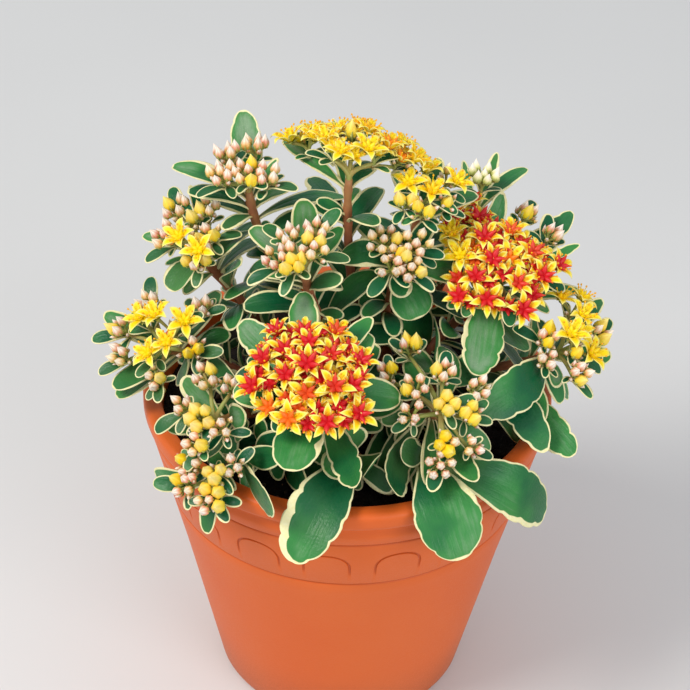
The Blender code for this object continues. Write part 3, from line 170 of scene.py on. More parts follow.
SHOOTS = (
    Shoot("back_left", (-8, 8), (245, 160), 84, 5, -5,
        (Cluster((226, 149), 0, 5, 0.0), Cluster((255, 139), 0, 5, 0.0), Cluster((220, 170), 0, 6, 0.0),
         Cluster((248, 168), 0, 8, 0.2), Cluster((268, 172), 0, 4, 0.0)),
        (Leaf((243, 110), 26, 9.5), Leaf((172, 167), 9, 8), Leaf((187, 191), 0, 8),
         Leaf((288, 188), 0, 7), Leaf((345, 197), 3, 8, 0.86), Leaf((211, 198), 1, 6, 0.86),
         Leaf((278, 158), 10, 4))),
    Shoot("left_high", (-14, 0), (186, 228), 62, 20, -18,
        (Cluster((176, 203), 0, 5, 0.25), Cluster((207, 204), 0, 4, 0.25),
         Cluster((163, 233), 0, 6, 0.35), Cluster((190, 214), 0, 1, 1.0), Cluster((192, 240), 2, 1, 1.0),
         Cluster((209, 230), 0, 2, 0.5), Cluster((195, 254), 0, 5, 0.4)),
        (Leaf((190, 185), 20, 5), Leaf((142, 235), 2, 5), Leaf((170, 291), -6, 10),
         Leaf((232, 248), 4, 8), Leaf((255, 221), 12, 7), Leaf((165, 264), -2, 4),
         Leaf((262, 240), 6, 9, 0.85))),
    Shoot("left_low", (-20, -8), (155, 335), 34, 28, -20,
        (Cluster((141, 318), 1, 0), Cluster((170, 327), 3, 0, 0, 0.1), Cluster((146, 352), 1, 0),
         Cluster((145, 299), 0, 4, 0.3), Cluster((116, 325), 0, 3, 0.3), Cluster((116, 354), 0, 4, 0.5),
         Cluster((202, 302), 0, 3, 0.3), Cluster((192, 347), 0, 3, 0.3), Cluster((153, 380), 0, 3, 0.3)),
        (Leaf((104, 314), 4, 7), Leaf((113, 388), -6, 9), Leaf((117, 398), -9, 10, 0.86),
         Leaf((219, 290), 14, 9), Leaf((231, 334), 4, 7), Leaf((180, 385), -6, 7),
         Leaf((225, 322), 2, 9, 0.8))),
    Shoot("front_left", (-18, -16), (204, 408), 30, 30, -18,
        (Cluster((204, 375), 0, 5, 0.3), Cluster((228, 382), 0, 3, 0.0), Cluster((178, 403), 0, 3, 0.0),
         Cluster((197, 416), 0, 5, 1.0), Cluster((220, 428), 0, 3, 0.2), Cluster((192, 444), 0, 4, 0.3)),
        (Leaf((182, 378), 10, 8), Leaf((167, 429), 0, 5), Leaf((210, 457), -3, 5), Leaf((246, 414), 6, 8),
         Leaf((243, 438), 2, 8), Leaf((225, 392), 8, 6))),
    Shoot("front_low_left", (-10, -24), (205, 478), 14, 44, -22,
        (Cluster((186, 463), 0, 5, 0.3), Cluster((214, 472), 0, 3, 1.0), Cluster((231, 464), 0, 3, 0.0),
         Cluster((181, 485), 0, 4, 0.2), Cluster((208, 500), 0, 6, 0.35)),
        (Leaf((154, 474), 4, 8), Leaf((207, 534), -10, 6), Leaf((273, 511), -2, 11, 0.76),
         Leaf((205, 452), 8, 8)), 10),
    Shoot("front_bloom", (2, -22), (308, 372), 46, 26, -4,
        (Cluster((289, 338), 3, 0, 0, 0.7), Cluster((325, 343), 3, 0, 0, 0.7),
         Cluster((272, 372), 3, 0, 0, 0.9), Cluster((348, 372), 3, 0, 0, 0.7),
         Cluster((284, 403), 3, 0, 0, 0.5), Cluster((336, 405), 3, 0, 0, 0.8),
         Cluster((308, 370), 1, 0, 0, 1.0)),
        (Leaf((303, 292), 16, 9), Leaf((240, 322), 8, 10), Leaf((233, 395), -2, 10),
         Leaf((290, 471), -8, 14), Leaf((301, 439), -2, 6), Leaf((314, 432), -2, 5),
         Leaf((400, 399), 0, 10), Leaf((372, 335), 10, 9), Leaf((356, 488), -6, 9, 0.8),
         Leaf((372, 318), 12, 6))),
    Shoot("centre_left", (-2, 2), (300, 246), 70, 18, -6,
        (Cluster((287, 231), 0, 4, 0.0), Cluster((316, 225), 0, 5, 0.1), Cluster((314, 245), 0, 6, 0.3),
         Cluster((273, 254), 0, 5, 0.0), Cluster((291, 258), 0, 6, 0.4)),
        (Leaf((303, 199), 22, 8.5), Leaf((250, 228), 8, 7), Leaf((342, 227), 8, 6),
         Leaf((262, 273), -2, 5), Leaf((251, 266), -1, 9, 0.86), Leaf((341, 284), -3, 8, 0.86)), fill=9),
    Shoot("back_centre", (4, 10), (352, 146), 92, 2, 3,
        (Cluster((305, 134), 3, 0, 0, 0.1), Cluster((333, 144), 2, 0, 0, 0.2),
         Cluster((354, 128), 3, 1, 1, 0.3), Cluster((379, 147), 2, 0, 0, 0.3),
         Cluster((403, 151), 2, 1, 0.5, 0.2)),
        (Leaf((374, 163), 4, 7), Leaf((283, 140), 4, 6), Leaf((310, 178), -2, 8, 0.8),
         Leaf((333, 118), 12, 4))),
    Shoot("back_right", (12, 8), (425, 184), 78, 12, 6,
        (Cluster((416, 177), 2, 0, 0, 0.1), Cluster((433, 187), 1, 0, 0, 0.2),
         Cluster((451, 172), 1, 1, 0.5, 0.0), Cluster((405, 195), 0, 2, 1.0),
         Cluster((424, 206), 0, 2, 1.0), Cluster((451, 196), 0, 1, 1.0)),
        (Leaf((440, 158), 14, 6), Leaf((478, 194), 4, 7), Leaf((394, 170), 8, 6), Leaf((392, 212), -4, 5))),
    Shoot("centre_right", (8, 0), (401, 248), 62, 28, 4,
        (Cluster((384, 237), 0, 8, 0.3), Cluster((417, 241), 0, 6, 0.2), Cluster((403, 250), 0, 1, 1.0),
         Cluster((391, 265), 0, 4, 0.0), Cluster((412, 266), 0, 6, 0.25)),
        (Leaf((354, 212), 8, 8), Leaf((436, 217), 12, 6), Leaf((339, 257), -2, 10),
         Leaf((402, 298), -4, 7), Leaf((418, 319), -8, 14, 0.88), Leaf((465, 274), -2, 11),
         Leaf((368, 288), 8, 10, 0.5, 0.12, 0.6)), fill=9),
    Shoot("far_right", (16, 14), (485, 172), 66, -8, 8,
        (Cluster((485, 172), 0, 8, 0.0),),
        (Leaf((527, 168), 8, 6), Leaf((497, 153), 10, 4), Leaf((464, 160), 8, 4))),
    Shoot("right_bloom", (16, -2), (506, 262), 54, 26, 12,
        (Cluster((468, 212), 3, 0, 0, 0.9), Cluster((456, 245), 2, 0, 0, 0.1),
         Cluster((484, 250), 2, 0, 0, 1.0), Cluster((512, 246), 3, 0, 0, 0.5),
         Cluster((545, 265), 3, 0, 0, 0.7), Cluster((474, 290), 3, 0, 0, 0.7),
         Cluster((512, 298), 3, 0, 0, 0.8), Cluster((530, 208), 0, 3, 0.3),
         Cluster((557, 230), 0, 3, 0.4)),
        (Leaf((503, 192), 18, 7), Leaf((573, 212), 14, 9), Leaf((580, 244), 4, 4), Leaf((440, 205), 6, 7),
         Leaf((474, 375), -8, 13), Leaf((580, 290), 2, 7), Leaf((447, 308), 0, 5),
         Leaf((549, 313), -2, 6), Leaf((525, 352), -6, 12, 0.85), Leaf((527, 377), -12, 10, 0.8),
         Leaf((402, 307), 4, 13, 0.42, 0.12, 0.6)), fill=9),
    Shoot("front_right", (10, -18), (445, 402), 34, 30, 6,
        (Cluster((408, 340), 0, 3, 0.4), Cluster((385, 369), 0, 3, 0.6), Cluster((415, 385), 0, 5, 0.4),
         Cluster((445, 368), 0, 4, 0.5), Cluster((410, 412), 0, 4, 0.0), Cluster((448, 402), 0, 4, 1.0),
         Cluster((473, 412), 0, 3, 1.0), Cluster((480, 388), 0, 4, 0.2), Cluster((448, 443), 0, 4, 0.5),
         Cluster((475, 447), 0, 3, 0.0), Cluster((441, 466), 0, 6, 0.0)),
        (Leaf((406, 361), 10, 6), Leaf((446, 347), 8, 9), Leaf((504, 386), 4, 6), Leaf((476, 482), -6, 7),
         Leaf((426, 486), -8, 6), Leaf((398, 494), -8, 10, 0.86)), fill=9),
    Shoot("right_low", (14, -14), (572, 338), 36, 22, 22,
        (Cluster((578, 305), 3, 0, 0, 0.1), Cluster((550, 333), 0, 4, 0.3),
         Cluster((550, 358), 0, 3, 0.0), Cluster((580, 345), 3, 1, 1, 0.1),
         Cluster((583, 372), 0, 4, 0.3), Cluster((605, 330), 0, 4, 0.3)),
        (Leaf((556, 388), -6, 7), Leaf((531, 431), -8, 12, 0.78, 0.12, 0.8),
         Leaf((574, 456), -10, 11, 0.66, 0.12, 0.8), Leaf((546, 452), -8, 11, 0.6, 0.12, 0.8),
         Leaf((478, 415), 2, 13, 0.9, 0.12, 0.5), Leaf((604, 300), 10, 7), Leaf((612, 355), 2, 7))),
    Shoot("front_tuft_left", (4, -31), (352, 452), 12, 20, 0, (),
        (Leaf((292, 562), -14, 17, 0.8, 0.2), Leaf((312, 442), 2, 12, 0.95), Leaf((330, 478), 2, 11, 0.9),
         Leaf((372, 462), 8, 9, 0.9), Leaf((352, 425), 14, 9, 1.0, 0.05)), 0, 2),
    Shoot("front_tuft_right", (24, -28), (425, 455), 12, 20, 8, (),
        (Leaf((462, 560), -14, 19, 0.8, 0.2), Leaf((545, 515), -12, 16, 0.92, 0.16),
         Leaf((400, 450), 6, 9, 0.9), Leaf((452, 440), 10, 9, 1.0, 0.05)), 0, 2),
)

GOLDEN = math.radians(137.5)
SIDEWAYS = np.array((1.0, 0.1, -0.2))   # no stem or flower points this way
LEAF_BREADTH = 1.15     # over the width that shows, as few face the viewer squarely
STEM_BASE = 1.8
STEM_TIP = 1.2
RAY_RADIUS = 0.7
BLOOM_RADIUS = 6.7
PETAL_LIFT = 1.2        # of a petal's tip over its root
YOUNG_BUD = (1.42, 4.9)     # radius and length
RIPE_BUD = (1.95, 6.5)
BUD_APART = 3.8         # from bud to bud round their ray
BLADE_HALF = 0.4
GAP = 0.35              # kept between one shoot and the next
CELL = 0.75             # of the grid that keeps them apart
SEED = 11


class Blade(NamedTuple):
    """A leaf as it has grown: its midrib, its upper side and its size."""
    at: float
    root: np.ndarray
    tip: np.ndarray
    up: np.ndarray
    width: float
    arch: float
    tone: float         # 0 to 1, told apart in colour only


class Bloom(NamedTuple):
    """An open flower: its middle, the way it faces, its turn round that, its share of full size, its age."""
    heart: np.ndarray
    axis: np.ndarray
    turn: float
    size: float
    age: float


class Bud(NamedTuple):
    """A bud, from its seat on its stalk to its point."""
    seat: np.ndarray
    axis: np.ndarray
    radius: float
    length: float
    ripe: bool


class Ray(NamedTuple):
    """A ray of a cyme, with the flowers and buds that its end forks into."""
    fork: np.ndarray
    lean: np.ndarray
    middle: list        # one bud at most
    ringed: list


class Plant(NamedTuple):
    """A shoot as it has grown."""
    name: str
    stem: list          # control points of its course
    base: np.ndarray    # where the rays of its head part
    axis: np.ndarray    # of its head
    rays: list
    blades: list
    trees: list         # surfaces that its leaves keep clear of


def sides_of(axis):
    """Two directions square to an axis and to each other."""
    side = unit(np.cross(axis, SIDEWAYS))
    return side, np.cross(axis, side)


def turned(side, other, turn):
    """The direction at an angle from one side towards the other."""
    return side * math.cos(turn) + other * math.sin(turn)


def ring_of(side, other, turns):
    """The directions at these angles."""
    return side * np.cos(turns)[:, None] + other * np.sin(turns)[:, None]


def leaf_half(s):
    """Half the width of a spoon-shaped leaf 1 wide, at s from its root to its tip."""
    swell = 0.2 + 0.8 * np.sin(0.5 * np.pi * np.minimum(1.0, s / 0.66)) ** 1.6
    return 0.5 * swell * np.sqrt(np.maximum(0.0, 1.0 - np.maximum(0.0, (s - 0.62) / 0.38) ** 2.4))


def blade_surface(blade, s, c):
    """Points of a leaf at s along it and c across it, from -1 to 1, where s and c are arrays."""
    chord = blade.tip - blade.root
    lift = blade.up * blade.arch * np.linalg.norm(chord)
    across = unit(np.cross(chord, blade.up))
    half = blade.width * leaf_half(s) * c
    return blade.root + chord * s[:, None] + lift * (4.0 * s * (1.0 - s))[:, None] + across * half[:, None]


def blade_points(blade, first, apart):
    """Points over a leaf, from a share of its length on, and so far apart."""
    length = np.linalg.norm(blade.tip - blade.root) * (1.0 - first)
    s, c = np.meshgrid(np.linspace(first, 0.99, int(length / apart) + 3),
                       np.linspace(-1.0, 1.0, int(blade.width / apart) + 2))
    return blade_surface(blade, s.ravel(), c.ravel())


def off_pot(points):
    """Whether these points keep clear of the pot's lip and of the soil."""
    out = np.hypot(points[:, 0], points[:, 1])
    inside = out <= RIM_RADIUS - RIM_ROLL - 1.2
    lip = ~inside & (out < RIM_RADIUS + 1.2) & (points[:, 2] < POT_HEIGHT + 1.2)
    return not (lip | inside & (points[:, 2] < SOIL_TOP + 3.0)).any()


ROOM_CORNER = np.array((-110.0, -110.0, SOIL_TOP - 12.0))
ROOM_CELLS = np.array((294, 260, 180))


class Room:
    """A grid over the pot that knows which shoot's stem, leaf and head fill each cell."""

    def __init__(self):
        self.grids = {kind: np.zeros(ROOM_CELLS, np.int16) for kind in ("stem", "leaf", "head")}

    def cells(self, points):
        """The cells that hold these points."""
        at = ((np.atleast_2d(points) - ROOM_CORNER) / CELL).astype(int)
        return tuple(np.clip(at, 0, ROOM_CELLS - 1).T)

    def take(self, kind, owner, points, radius):
        """Fills what lies within the radius of these points."""
        reach = int(radius / CELL) + 1
        ball = np.mgrid[-reach:reach + 1, -reach:reach + 1, -reach:reach + 1].reshape(3, -1).T * CELL
        ball = ball[np.linalg.norm(ball, axis=1) <= radius + 0.3 * CELL]
        spread = (np.atleast_2d(points)[:, None] + ball[None]).reshape(-1, 3)
        self.grids[kind][self.cells(spread)] = owner

    def free(self, kind, points, own=0):
        """Whether no other shoot fills these points."""
        held = self.grids[kind][self.cells(points)]
        return not ((held != 0) & (held != own)).any()


def stem_curve(shoot):
    """A stem's course from the soil to its head, with the head's middle and axis."""
    axis = unit((math.tan(math.radians(shoot.right)), -math.tan(math.radians(shoot.toward)), 1.0))
    centre = seen_at(shoot.seen, RIM_LEVEL + shoot.height)
    top = centre - axis * shoot.stalk
    foot = np.array((*shoot.foot, SOIL_TOP))
    reach = np.linalg.norm(top - foot)
    ease = min(1.0, max(0.0, (top[2] - 125.0) / 40.0)) if shoot.clusters else 1.0
    arrive = unit(axis * (1.0, 1.0, ease))
    return [foot, foot + UP * 0.32 * reach, top - arrive * 0.34 * reach, top], centre, axis


def bloom_points(bloom):
    """Points over a flower's five petals."""
    side, other = sides_of(bloom.axis)
    reach = np.array((0.15, 0.35, 0.35, 0.35, 0.55, 0.55, 0.55, 0.77, 0.98))
    aside = np.array((0.0, 0.0, 0.18, -0.18, 0.0, 0.11, -0.11, 0.0, 0.0))
    points = []
    for k in range(5):
        turn = bloom.turn + k * 0.4 * math.pi
        along = turned(side, other, turn)
        across = np.cross(bloom.axis, along)
        out = along * reach[:, None] + across * aside[:, None]
        rise = bloom.axis * PETAL_LIFT * reach[:, None]
        points.append(bloom.heart + out * BLOOM_RADIUS * bloom.size + rise)
    return np.concatenate(points)


def bud_points(bud):
    """Points round a bud."""
    side, other = sides_of(bud.axis)
    ring = ring_of(side, other, np.arange(6) * math.pi / 3.0)
    at = np.array((0.1, 0.42, 0.75))[:, None, None] * bud.length
    wide = np.array((0.6, 1.1, 0.5))[:, None, None] * bud.radius
    return (bud.seat + bud.axis * at + ring[None] * wide).reshape(-1, 3)


def line_points(start, end, first=0.0):
    """Points about 1 mm apart on a line, from a share of its length on."""
    return start + (end - start) * np.linspace(first, 1.0, int(np.linalg.norm(end - start)) + 2)[:, None]


def circle(centre, axis, radius, turns):
    """Points on a circle round an axis."""
    side, other = sides_of(axis)
    return [centre + turned(side, other, turn) * radius for turn in turns]


def even(count, start=0.0):
    """Evenly spread angles."""
    return [start + 2.0 * math.pi * k / count for k in range(count)]


def bloom_rings(bloom):
    """A flower's underside, the tips and dips of its petals, and the tops of its carpels."""
    size, axis = bloom.size, bloom.axis
    return (circle(bloom.heart - axis * 1.3, axis, 1.0, even(5, bloom.turn)),
            circle(bloom.heart + axis * PETAL_LIFT, axis, BLOOM_RADIUS * size, even(5, bloom.turn)),
            circle(bloom.heart, axis, 2.3 * size, even(5, bloom.turn + 0.2 * math.pi)),
            circle(bloom.heart + axis * 2.3, axis, 2.0 * size, even(5, bloom.turn)))


def between(n):
    """Facets between two rings of n points, by their places in the one ring and then the other."""
    return [(k, (k + 1) % n, n + (k + 1) % n, n + k) for k in range(n)]


def item_tree(item, fork):
    """The surface of a flower or bud and its stalk, but for the stalk's root."""
    if isinstance(item, Bloom):
        under, tips, dips, crown = bloom_rings(item)
        root = circle(fork + (item.heart - fork) * 0.35, item.axis, 0.75, even(5, item.turn))
        points = root + under + tips + dips + crown + [item.heart]
        faces = between(5)
        for k in range(5):
            before, after = (k + 4) % 5, (k + 1) % 5
            faces += [(5 + k, 10 + k, 15 + k), (5 + k, 15 + before, 10 + k), (10 + k, 15 + k, 20 + k),
                      (10 + k, 20 + k, 15 + before), (20 + k, 25, 20 + after), (15 + k, 20 + k, 20 + after)]
    else:
        middle = item.seat + item.axis * item.length * 0.42
        root = circle(fork + (middle - fork) * 0.35, item.axis, 0.8, even(4))
        wide = circle(middle, item.axis, item.radius * 1.12, even(4))
        points = root + wide + [item.seat + item.axis * item.length]
        faces = between(4) + [(4 + k, 8, 4 + (k + 1) % 4) for k in range(4)]
    return BVHTree.FromPolygons([tuple(p) for p in points], faces)


# Shifts of a flower or bud to find it room: along its ray, round it, and out from it
SHIFTS = sorted([(lift, swing, spread) for lift in (0.0, 0.8, -0.8, 1.6, -1.6, 2.4, -2.4, 3.3, -3.3)
                 for swing in (0.0, 0.2, -0.2) for spread in (1.0, 1.2, 0.85, 1.45)],
                key=lambda t: (abs(t[0]) + abs(t[1]) * 3.0 + abs(t[2] - 1.0) * 3.0, t))


def settle_item(room, number, ray, trees, bloom, cluster, azimuth, far, draw):
    """Adds a flower or bud to a ray where it has room."""
    side, other = sides_of(ray.lean)
    wobble = np.array([draw.uniform(-0.1, 0.1) for _ in range(3)])
    lift, turn, size = draw.uniform(-0.7, 0.7), draw.uniform(0.0, 1.2566), draw.uniform(0.9, 1.08)
    age, ripe = min(1.0, max(0.0, cluster.age + draw.uniform(-0.18, 0.18))), draw.random() < cluster.ripe
    sector = 2.0 * math.pi / max(1, cluster.blooms + cluster.buds)
    for more, swing, spread in SHIFTS:
        angle = azimuth + swing * sector
        away = turned(side, other, angle)
        heart = ray.fork + ray.lean * (6.5 + lift + more - 0.02 * far * far) + away * far * spread
        face = unit(ray.lean + away * 0.045 * far + wobble)
        if bloom:
            item = Bloom(heart, face, turn + more * 0.4, size, age)
            points, stalk = bloom_points(item), heart - face * 1.3
        else:
            radius, length = (size * value for value in (RIPE_BUD if ripe else YOUNG_BUD))
            item = Bud(heart - face * length * 0.5, face, radius, length, ripe)
            points, stalk = bud_points(item), item.seat
        stem = line_points(ray.fork, stalk, 0.5)
        if not all(room.free("head", p, number) and room.free("stem", p, number) for p in (points, stem)):
            continue
        tree = item_tree(item, ray.fork)
        if any(tree.overlap(there) for there, whose in trees if whose is not ray):
            continue
        trees.append((tree, None))
        if not bloom:
            points = line_points(item.seat, item.seat + face * length)
        return item, [(points, 1.1 if bloom else radius), (stem, 0.6)]
    return None, []


def ray_tree(base, fork, first, wide):
    """The surface of a ray, from a share of its length on."""
    low = circle(base + (fork - base) * first, unit(fork - base), wide, even(4))
    high = circle(fork, unit(fork - base), 1.2, even(4))
    return BVHTree.FromPolygons([tuple(p) for p in low + high], between(4))


def grow_head(room, number, shoot, plant, centre, draw):
    """The rays of a cyme, with the flowers and buds on each."""
    parts, trees = [], []
    for cluster in shoot.clusters:
        at = seen_on(cluster.seen, centre, plant.axis)
        for _ in range(3):
            drop = 0.016 * np.linalg.norm(at - centre) ** 2
            at = seen_on(cluster.seen, centre - plant.axis * drop, plant.axis)
        out = at - plant.axis * ((at - plant.base) @ plant.axis) - plant.base
        lean = unit(plant.axis + 0.022 * out)
        ray = Ray(at - lean * 6.5, lean, [], [])
        plant.rays.append(ray)
        trees.append((ray_tree(plant.base, ray.fork, 0.4, 0.8), ray))
        plant.trees.append(ray_tree(plant.base, ray.fork, 0.02, 1.9))
        parts.append((line_points(plant.base, ray.fork, 0.3), RAY_RADIUS))
    for cluster, ray in zip(shoot.clusters, plant.rays):
        count = cluster.blooms + cluster.buds
        middle = count > 5
        ringed = count - middle
        phase = draw.uniform(0.0, 2.0 * math.pi)
        for k in range(count):
            bloom = k < cluster.blooms
            azimuth = phase + 2.0 * math.pi * (k - middle) / max(1, ringed)
            if count == 1 or middle and k == 0:
                far = 0.0
            elif bloom:
                far = 4.2 + 0.3 * cluster.blooms
            else:
                far = max(2.1, BUD_APART * 0.5 / math.sin(math.pi / ringed))
            item, taken = settle_item(room, number, ray, trees, bloom, cluster, azimuth, far, draw)
            if item:
                (ray.middle if middle and k == 0 else ray.ringed).append(item)
                parts += taken
    for points, radius in parts:
        room.take("head", number, points, radius + BLADE_HALF + GAP)
    plant.trees.extend(tree for tree, _ in trees)


def leaf_rings(blade):
    """Sections of a leaf as a thin arched plate, with waves along the edge of a large one."""
    length = np.linalg.norm(blade.tip - blade.root)
    large = length > 42.0
    if large:
        places = (0.16, 0.34, 0.52, 0.66, 0.76, 0.86, 0.94, 0.99)
    elif length > 26.0:
        places = (0.28, 0.58, 0.86, 0.985)
    else:
        places = (0.38, 0.8, 0.98)
    across = unit(np.cross(blade.tip - blade.root, blade.up))
    rings = []
    for k, s in enumerate(places):
        half = blade.width * leaf_half(np.array([s]))[0]
        if large and k in (4, 6):
            half *= 0.93
        middle = blade_surface(blade, np.array([s]), np.array([0.0]))[0]
        thick = blade.up * BLADE_HALF
        rings.append([middle - across * half + thick, middle + across * half + thick,
                      middle + across * half - thick, middle - across * half - thick])
    return rings


def leaf_tree(facet, rings):
    """A leaf's surface from a little off its facet."""
    first = [a * 0.7 + b * 0.3 for a, b in zip(facet, rings[0])]
    points, faces = list(first), []
    for k, ring in enumerate(rings):
        faces += [tuple(4 * k + n for n in face) for face in between(4)]
        points += ring
    return BVHTree.FromPolygons([tuple(p) for p in points], faces)


def settle_blade(room, number, plant, at, tip, width, arch, tone, face=0.0):
    """Adds a leaf if it has room there."""
    root = bezier(plant.stem, at)
    axis = unit(bezier(plant.stem, min(1.0, at + 0.02)) - bezier(plant.stem, min(1.0, at + 0.02) - 0.04))
    chord = unit(tip - root)
    sky = axis * (1.0 - face) - FORWARD * face
    up = sky - chord * (sky @ chord)
    if np.linalg.norm(up) < 0.2:
        return False
    blade = Blade(at, root, tip, unit(up), width, arch, tone)
    near, outer = blade_points(blade, 0.08, 1.1), blade_points(blade, 0.16, 1.1)
    if not (off_pot(near) and room.free("head", near) and room.free("stem", near, number)
            and room.free("leaf", outer)):
        return False
    if plant.trees:
        across = unit(np.cross(chord, blade.up)) * 1.2
        rise = blade.up * 0.8
        tree = leaf_tree([root - across + rise, root + across + rise, root + across - rise,
                          root - across - rise], leaf_rings(blade))
        if any(tree.overlap(there) for there in plant.trees):
            return False
    plant.blades.append(blade)
    room.take("leaf", number, blade_points(blade, 0.14, 0.7), 2.0 * BLADE_HALF + GAP)
    return True


# Shifts of a seen leaf to find it room: its tip's height, its arch, and its root down the stem
TRIES = sorted([(rise, bend, down) for rise in (0, 2, -2, 4, -4, 6, -6, 9, -9, 12, -12)
                for bend in (0.0, 0.1, -0.1, 0.2, -0.2, -0.3) for down in (0.0, 0.04, 0.08, 0.12)],
               key=lambda t: (abs(t[0]) * 0.5 + abs(t[1]) * 9.0 + t[2] * 16.0, t[0], t[1]))


FILL_SHRINKS = (1.0, 0.85, 0.7)
FILL_SWINGS = (0, 25, -25, 50, -50, 75, -75, 100, -100, 130, -130)      # round the stem, degrees
FILL_SLOPES = (25, 45, 5)                                               # along it
FILL_WIDTH = 0.4        # per length
ARCH = 0.12             # of a leaf placed by rule, per length


def fill_leaf(room, number, plant, at, azimuth, length, tone):
    """A leaf placed by rule, turned or shortened until it has room."""
    root = bezier(plant.stem, at)
    axis = unit(root - bezier(plant.stem, at - 0.02))
    side, other = sides_of(axis)
    for shrink, swing, slope in itertools.product(FILL_SHRINKS, FILL_SWINGS, FILL_SLOPES):
        aim = turned(turned(side, other, azimuth + math.radians(swing)), axis, math.radians(slope))
        tip = root + aim * length * shrink
        if settle_blade(room, number, plant, at, tip, length * shrink * FILL_WIDTH, ARCH, tone):
            return


def grow():
    """The whole plant, in millimetres over the ground, each shoot with its own draw of chance."""
    room = Room()
    plants, centres = [], []
    for number, shoot in enumerate(SHOOTS, 1):
        stem, centre, axis = stem_curve(shoot)
        plants.append(Plant(shoot.name, stem, stem[-1] + axis * 0.3, axis, [], [], []))
        centres.append(centre)
        points = np.array([bezier(stem, t) for t in np.linspace(0.0, 1.0, 60)])
        room.take("stem", number, points, STEM_BASE + BLADE_HALF + GAP)
    for number, (shoot, plant, centre) in enumerate(zip(SHOOTS, plants, centres), 1):
        grow_head(room, number, shoot, plant, centre, random.Random(SEED * 100 + number))
    for number, (shoot, plant) in enumerate(zip(SHOOTS, plants), 1):
        draw = random.Random(SEED * 200 + number)
        for leaf in shoot.leaves:
            tone = draw.random()
            level = bezier(plant.stem, leaf.at)[2] + leaf.rise
            for more, bend, down in TRIES:
                if settle_blade(room, number, plant, leaf.at - down, seen_at(leaf.tip, level + more),
                                leaf.width * LEAF_BREADTH, leaf.arch + bend, tone, leaf.face):
                    break
    for number, (shoot, plant) in enumerate(zip(SHOOTS, plants), 1):
        draw = random.Random(SEED * 300 + number)
        phase = draw.uniform(0.0, 2.0 * math.pi)
        for k in range(shoot.fill):
            at = 0.85 - 0.6 * (k + 0.5) / shoot.fill
            length = draw.uniform(0.9, 1.1) * (19.0 + 13.0 * (1.0 - at))
            fill_leaf(room, number, plant, at, phase + k * GOLDEN, length, draw.random())
    return room, plants


def cone_radius(z):
    """The pot's outer radius below its neck."""
    knee = WALL_RADIUS + WALL_SLOPE * (WALL_KNEE - RIM_LEVEL)
    if z > WALL_KNEE:
        return WALL_RADIUS + WALL_SLOPE * (z - RIM_LEVEL)
    return BASE_RADIUS + (knee - BASE_RADIUS) * z / WALL_KNEE


LEAFLETS = 14           # small leaves tried on each shoot
LEAFLET_LENGTHS = (10.0, 18.0)
LEAFLET_TURNS = [math.radians(turn) for turn in (0, 35, -35, 70, -70, 110, -110, 150, -150)]
LEAFLET_SLOPES = (0.7, 0.2)     # along the stem, per length away from it
LEAFLET_FACE = 0.45     # how far they turn to the light and the viewer


def settle_leaflet(room, number, plant, at, tip, length, tone):
    """Adds a small leaf if it has room there."""
    return settle_blade(room, number, plant, at, tip, length * FILL_WIDTH, ARCH, tone, LEAFLET_FACE)


def add_leaflets(room, plants):
    """Small leaves in the room that is left between the larger ones."""
    for number, plant in enumerate(plants, 1):
        draw = random.Random(SEED * 500 + number)
        for k in range(LEAFLETS):
            at = 0.9 - 0.74 * (k + draw.random()) / LEAFLETS
            length = draw.uniform(*LEAFLET_LENGTHS)
            turn, tone = draw.uniform(0.0, 2.0 * math.pi), draw.random()
            root = bezier(plant.stem, at)
            axis = unit(root - bezier(plant.stem, at - 0.02))
            side, other = sides_of(axis)
            for swing, slope in itertools.product(LEAFLET_TURNS, LEAFLET_SLOPES):
                tip = root + unit(turned(side, other, turn + swing) + axis * slope) * length
                if settle_leaflet(room, number, plant, at, tip, length, tone):
                    break


# Pixels of the tips of leaves that are seen behind the larger ones
BACKGROUND_TIPS = ((238, 345), (232, 330), (245, 364), (240, 314), (222, 318), (228, 372), (520, 442),
                   (508, 430), (290, 478), (246, 474))
BACKGROUND_LEVELS = range(112, 160, 4)              # heights over the ground tried for a tip, mm
BACKGROUND_PLACES = np.linspace(0.25, 0.9, 8)       # places along a stem tried for a root
SHORTEST, LONGEST, BEST_LENGTH = 12.0, 30.0, 20.0   # of such a leaf, mm


def add_background_leaves(room, plants):
    """Leaves with their tips where they are seen, each on the first shoot from which it has room."""
    for k, pixel in enumerate(BACKGROUND_TIPS):
        tone = random.Random(SEED * 600 + k).random()
        ways = []
        for level, at in itertools.product(BACKGROUND_LEVELS, BACKGROUND_PLACES):
            tip = seen_at(pixel, level)
            for number, plant in enumerate(plants, 1):
                length = np.linalg.norm(tip - bezier(plant.stem, at))
                if SHORTEST < length < LONGEST:
                    ways.append((abs(length - BEST_LENGTH), number, at, tuple(tip), length))
        for _, number, at, tip, length in sorted(ways):
            if settle_leaflet(room, number, plants[number - 1], at, np.array(tip), length, tone):
                break


@functools.cache
def grown():
    """The room that is taken, and the shoots with all their leaves."""
    room, plants = grow()
    add_background_leaves(room, plants)
    add_leaflets(room, plants)
    return room, plants


# Meshes of the fine pieces

def placed(name, data):
    """A new object in the scene."""
    made = bpy.data.objects.new(name, data)
    bpy.context.scene.collection.objects.link(made)
    return made


def stand_in(piece, node):
    """Has a piece take the place of a node of the part."""
    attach(piece, "root")
    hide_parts(node)


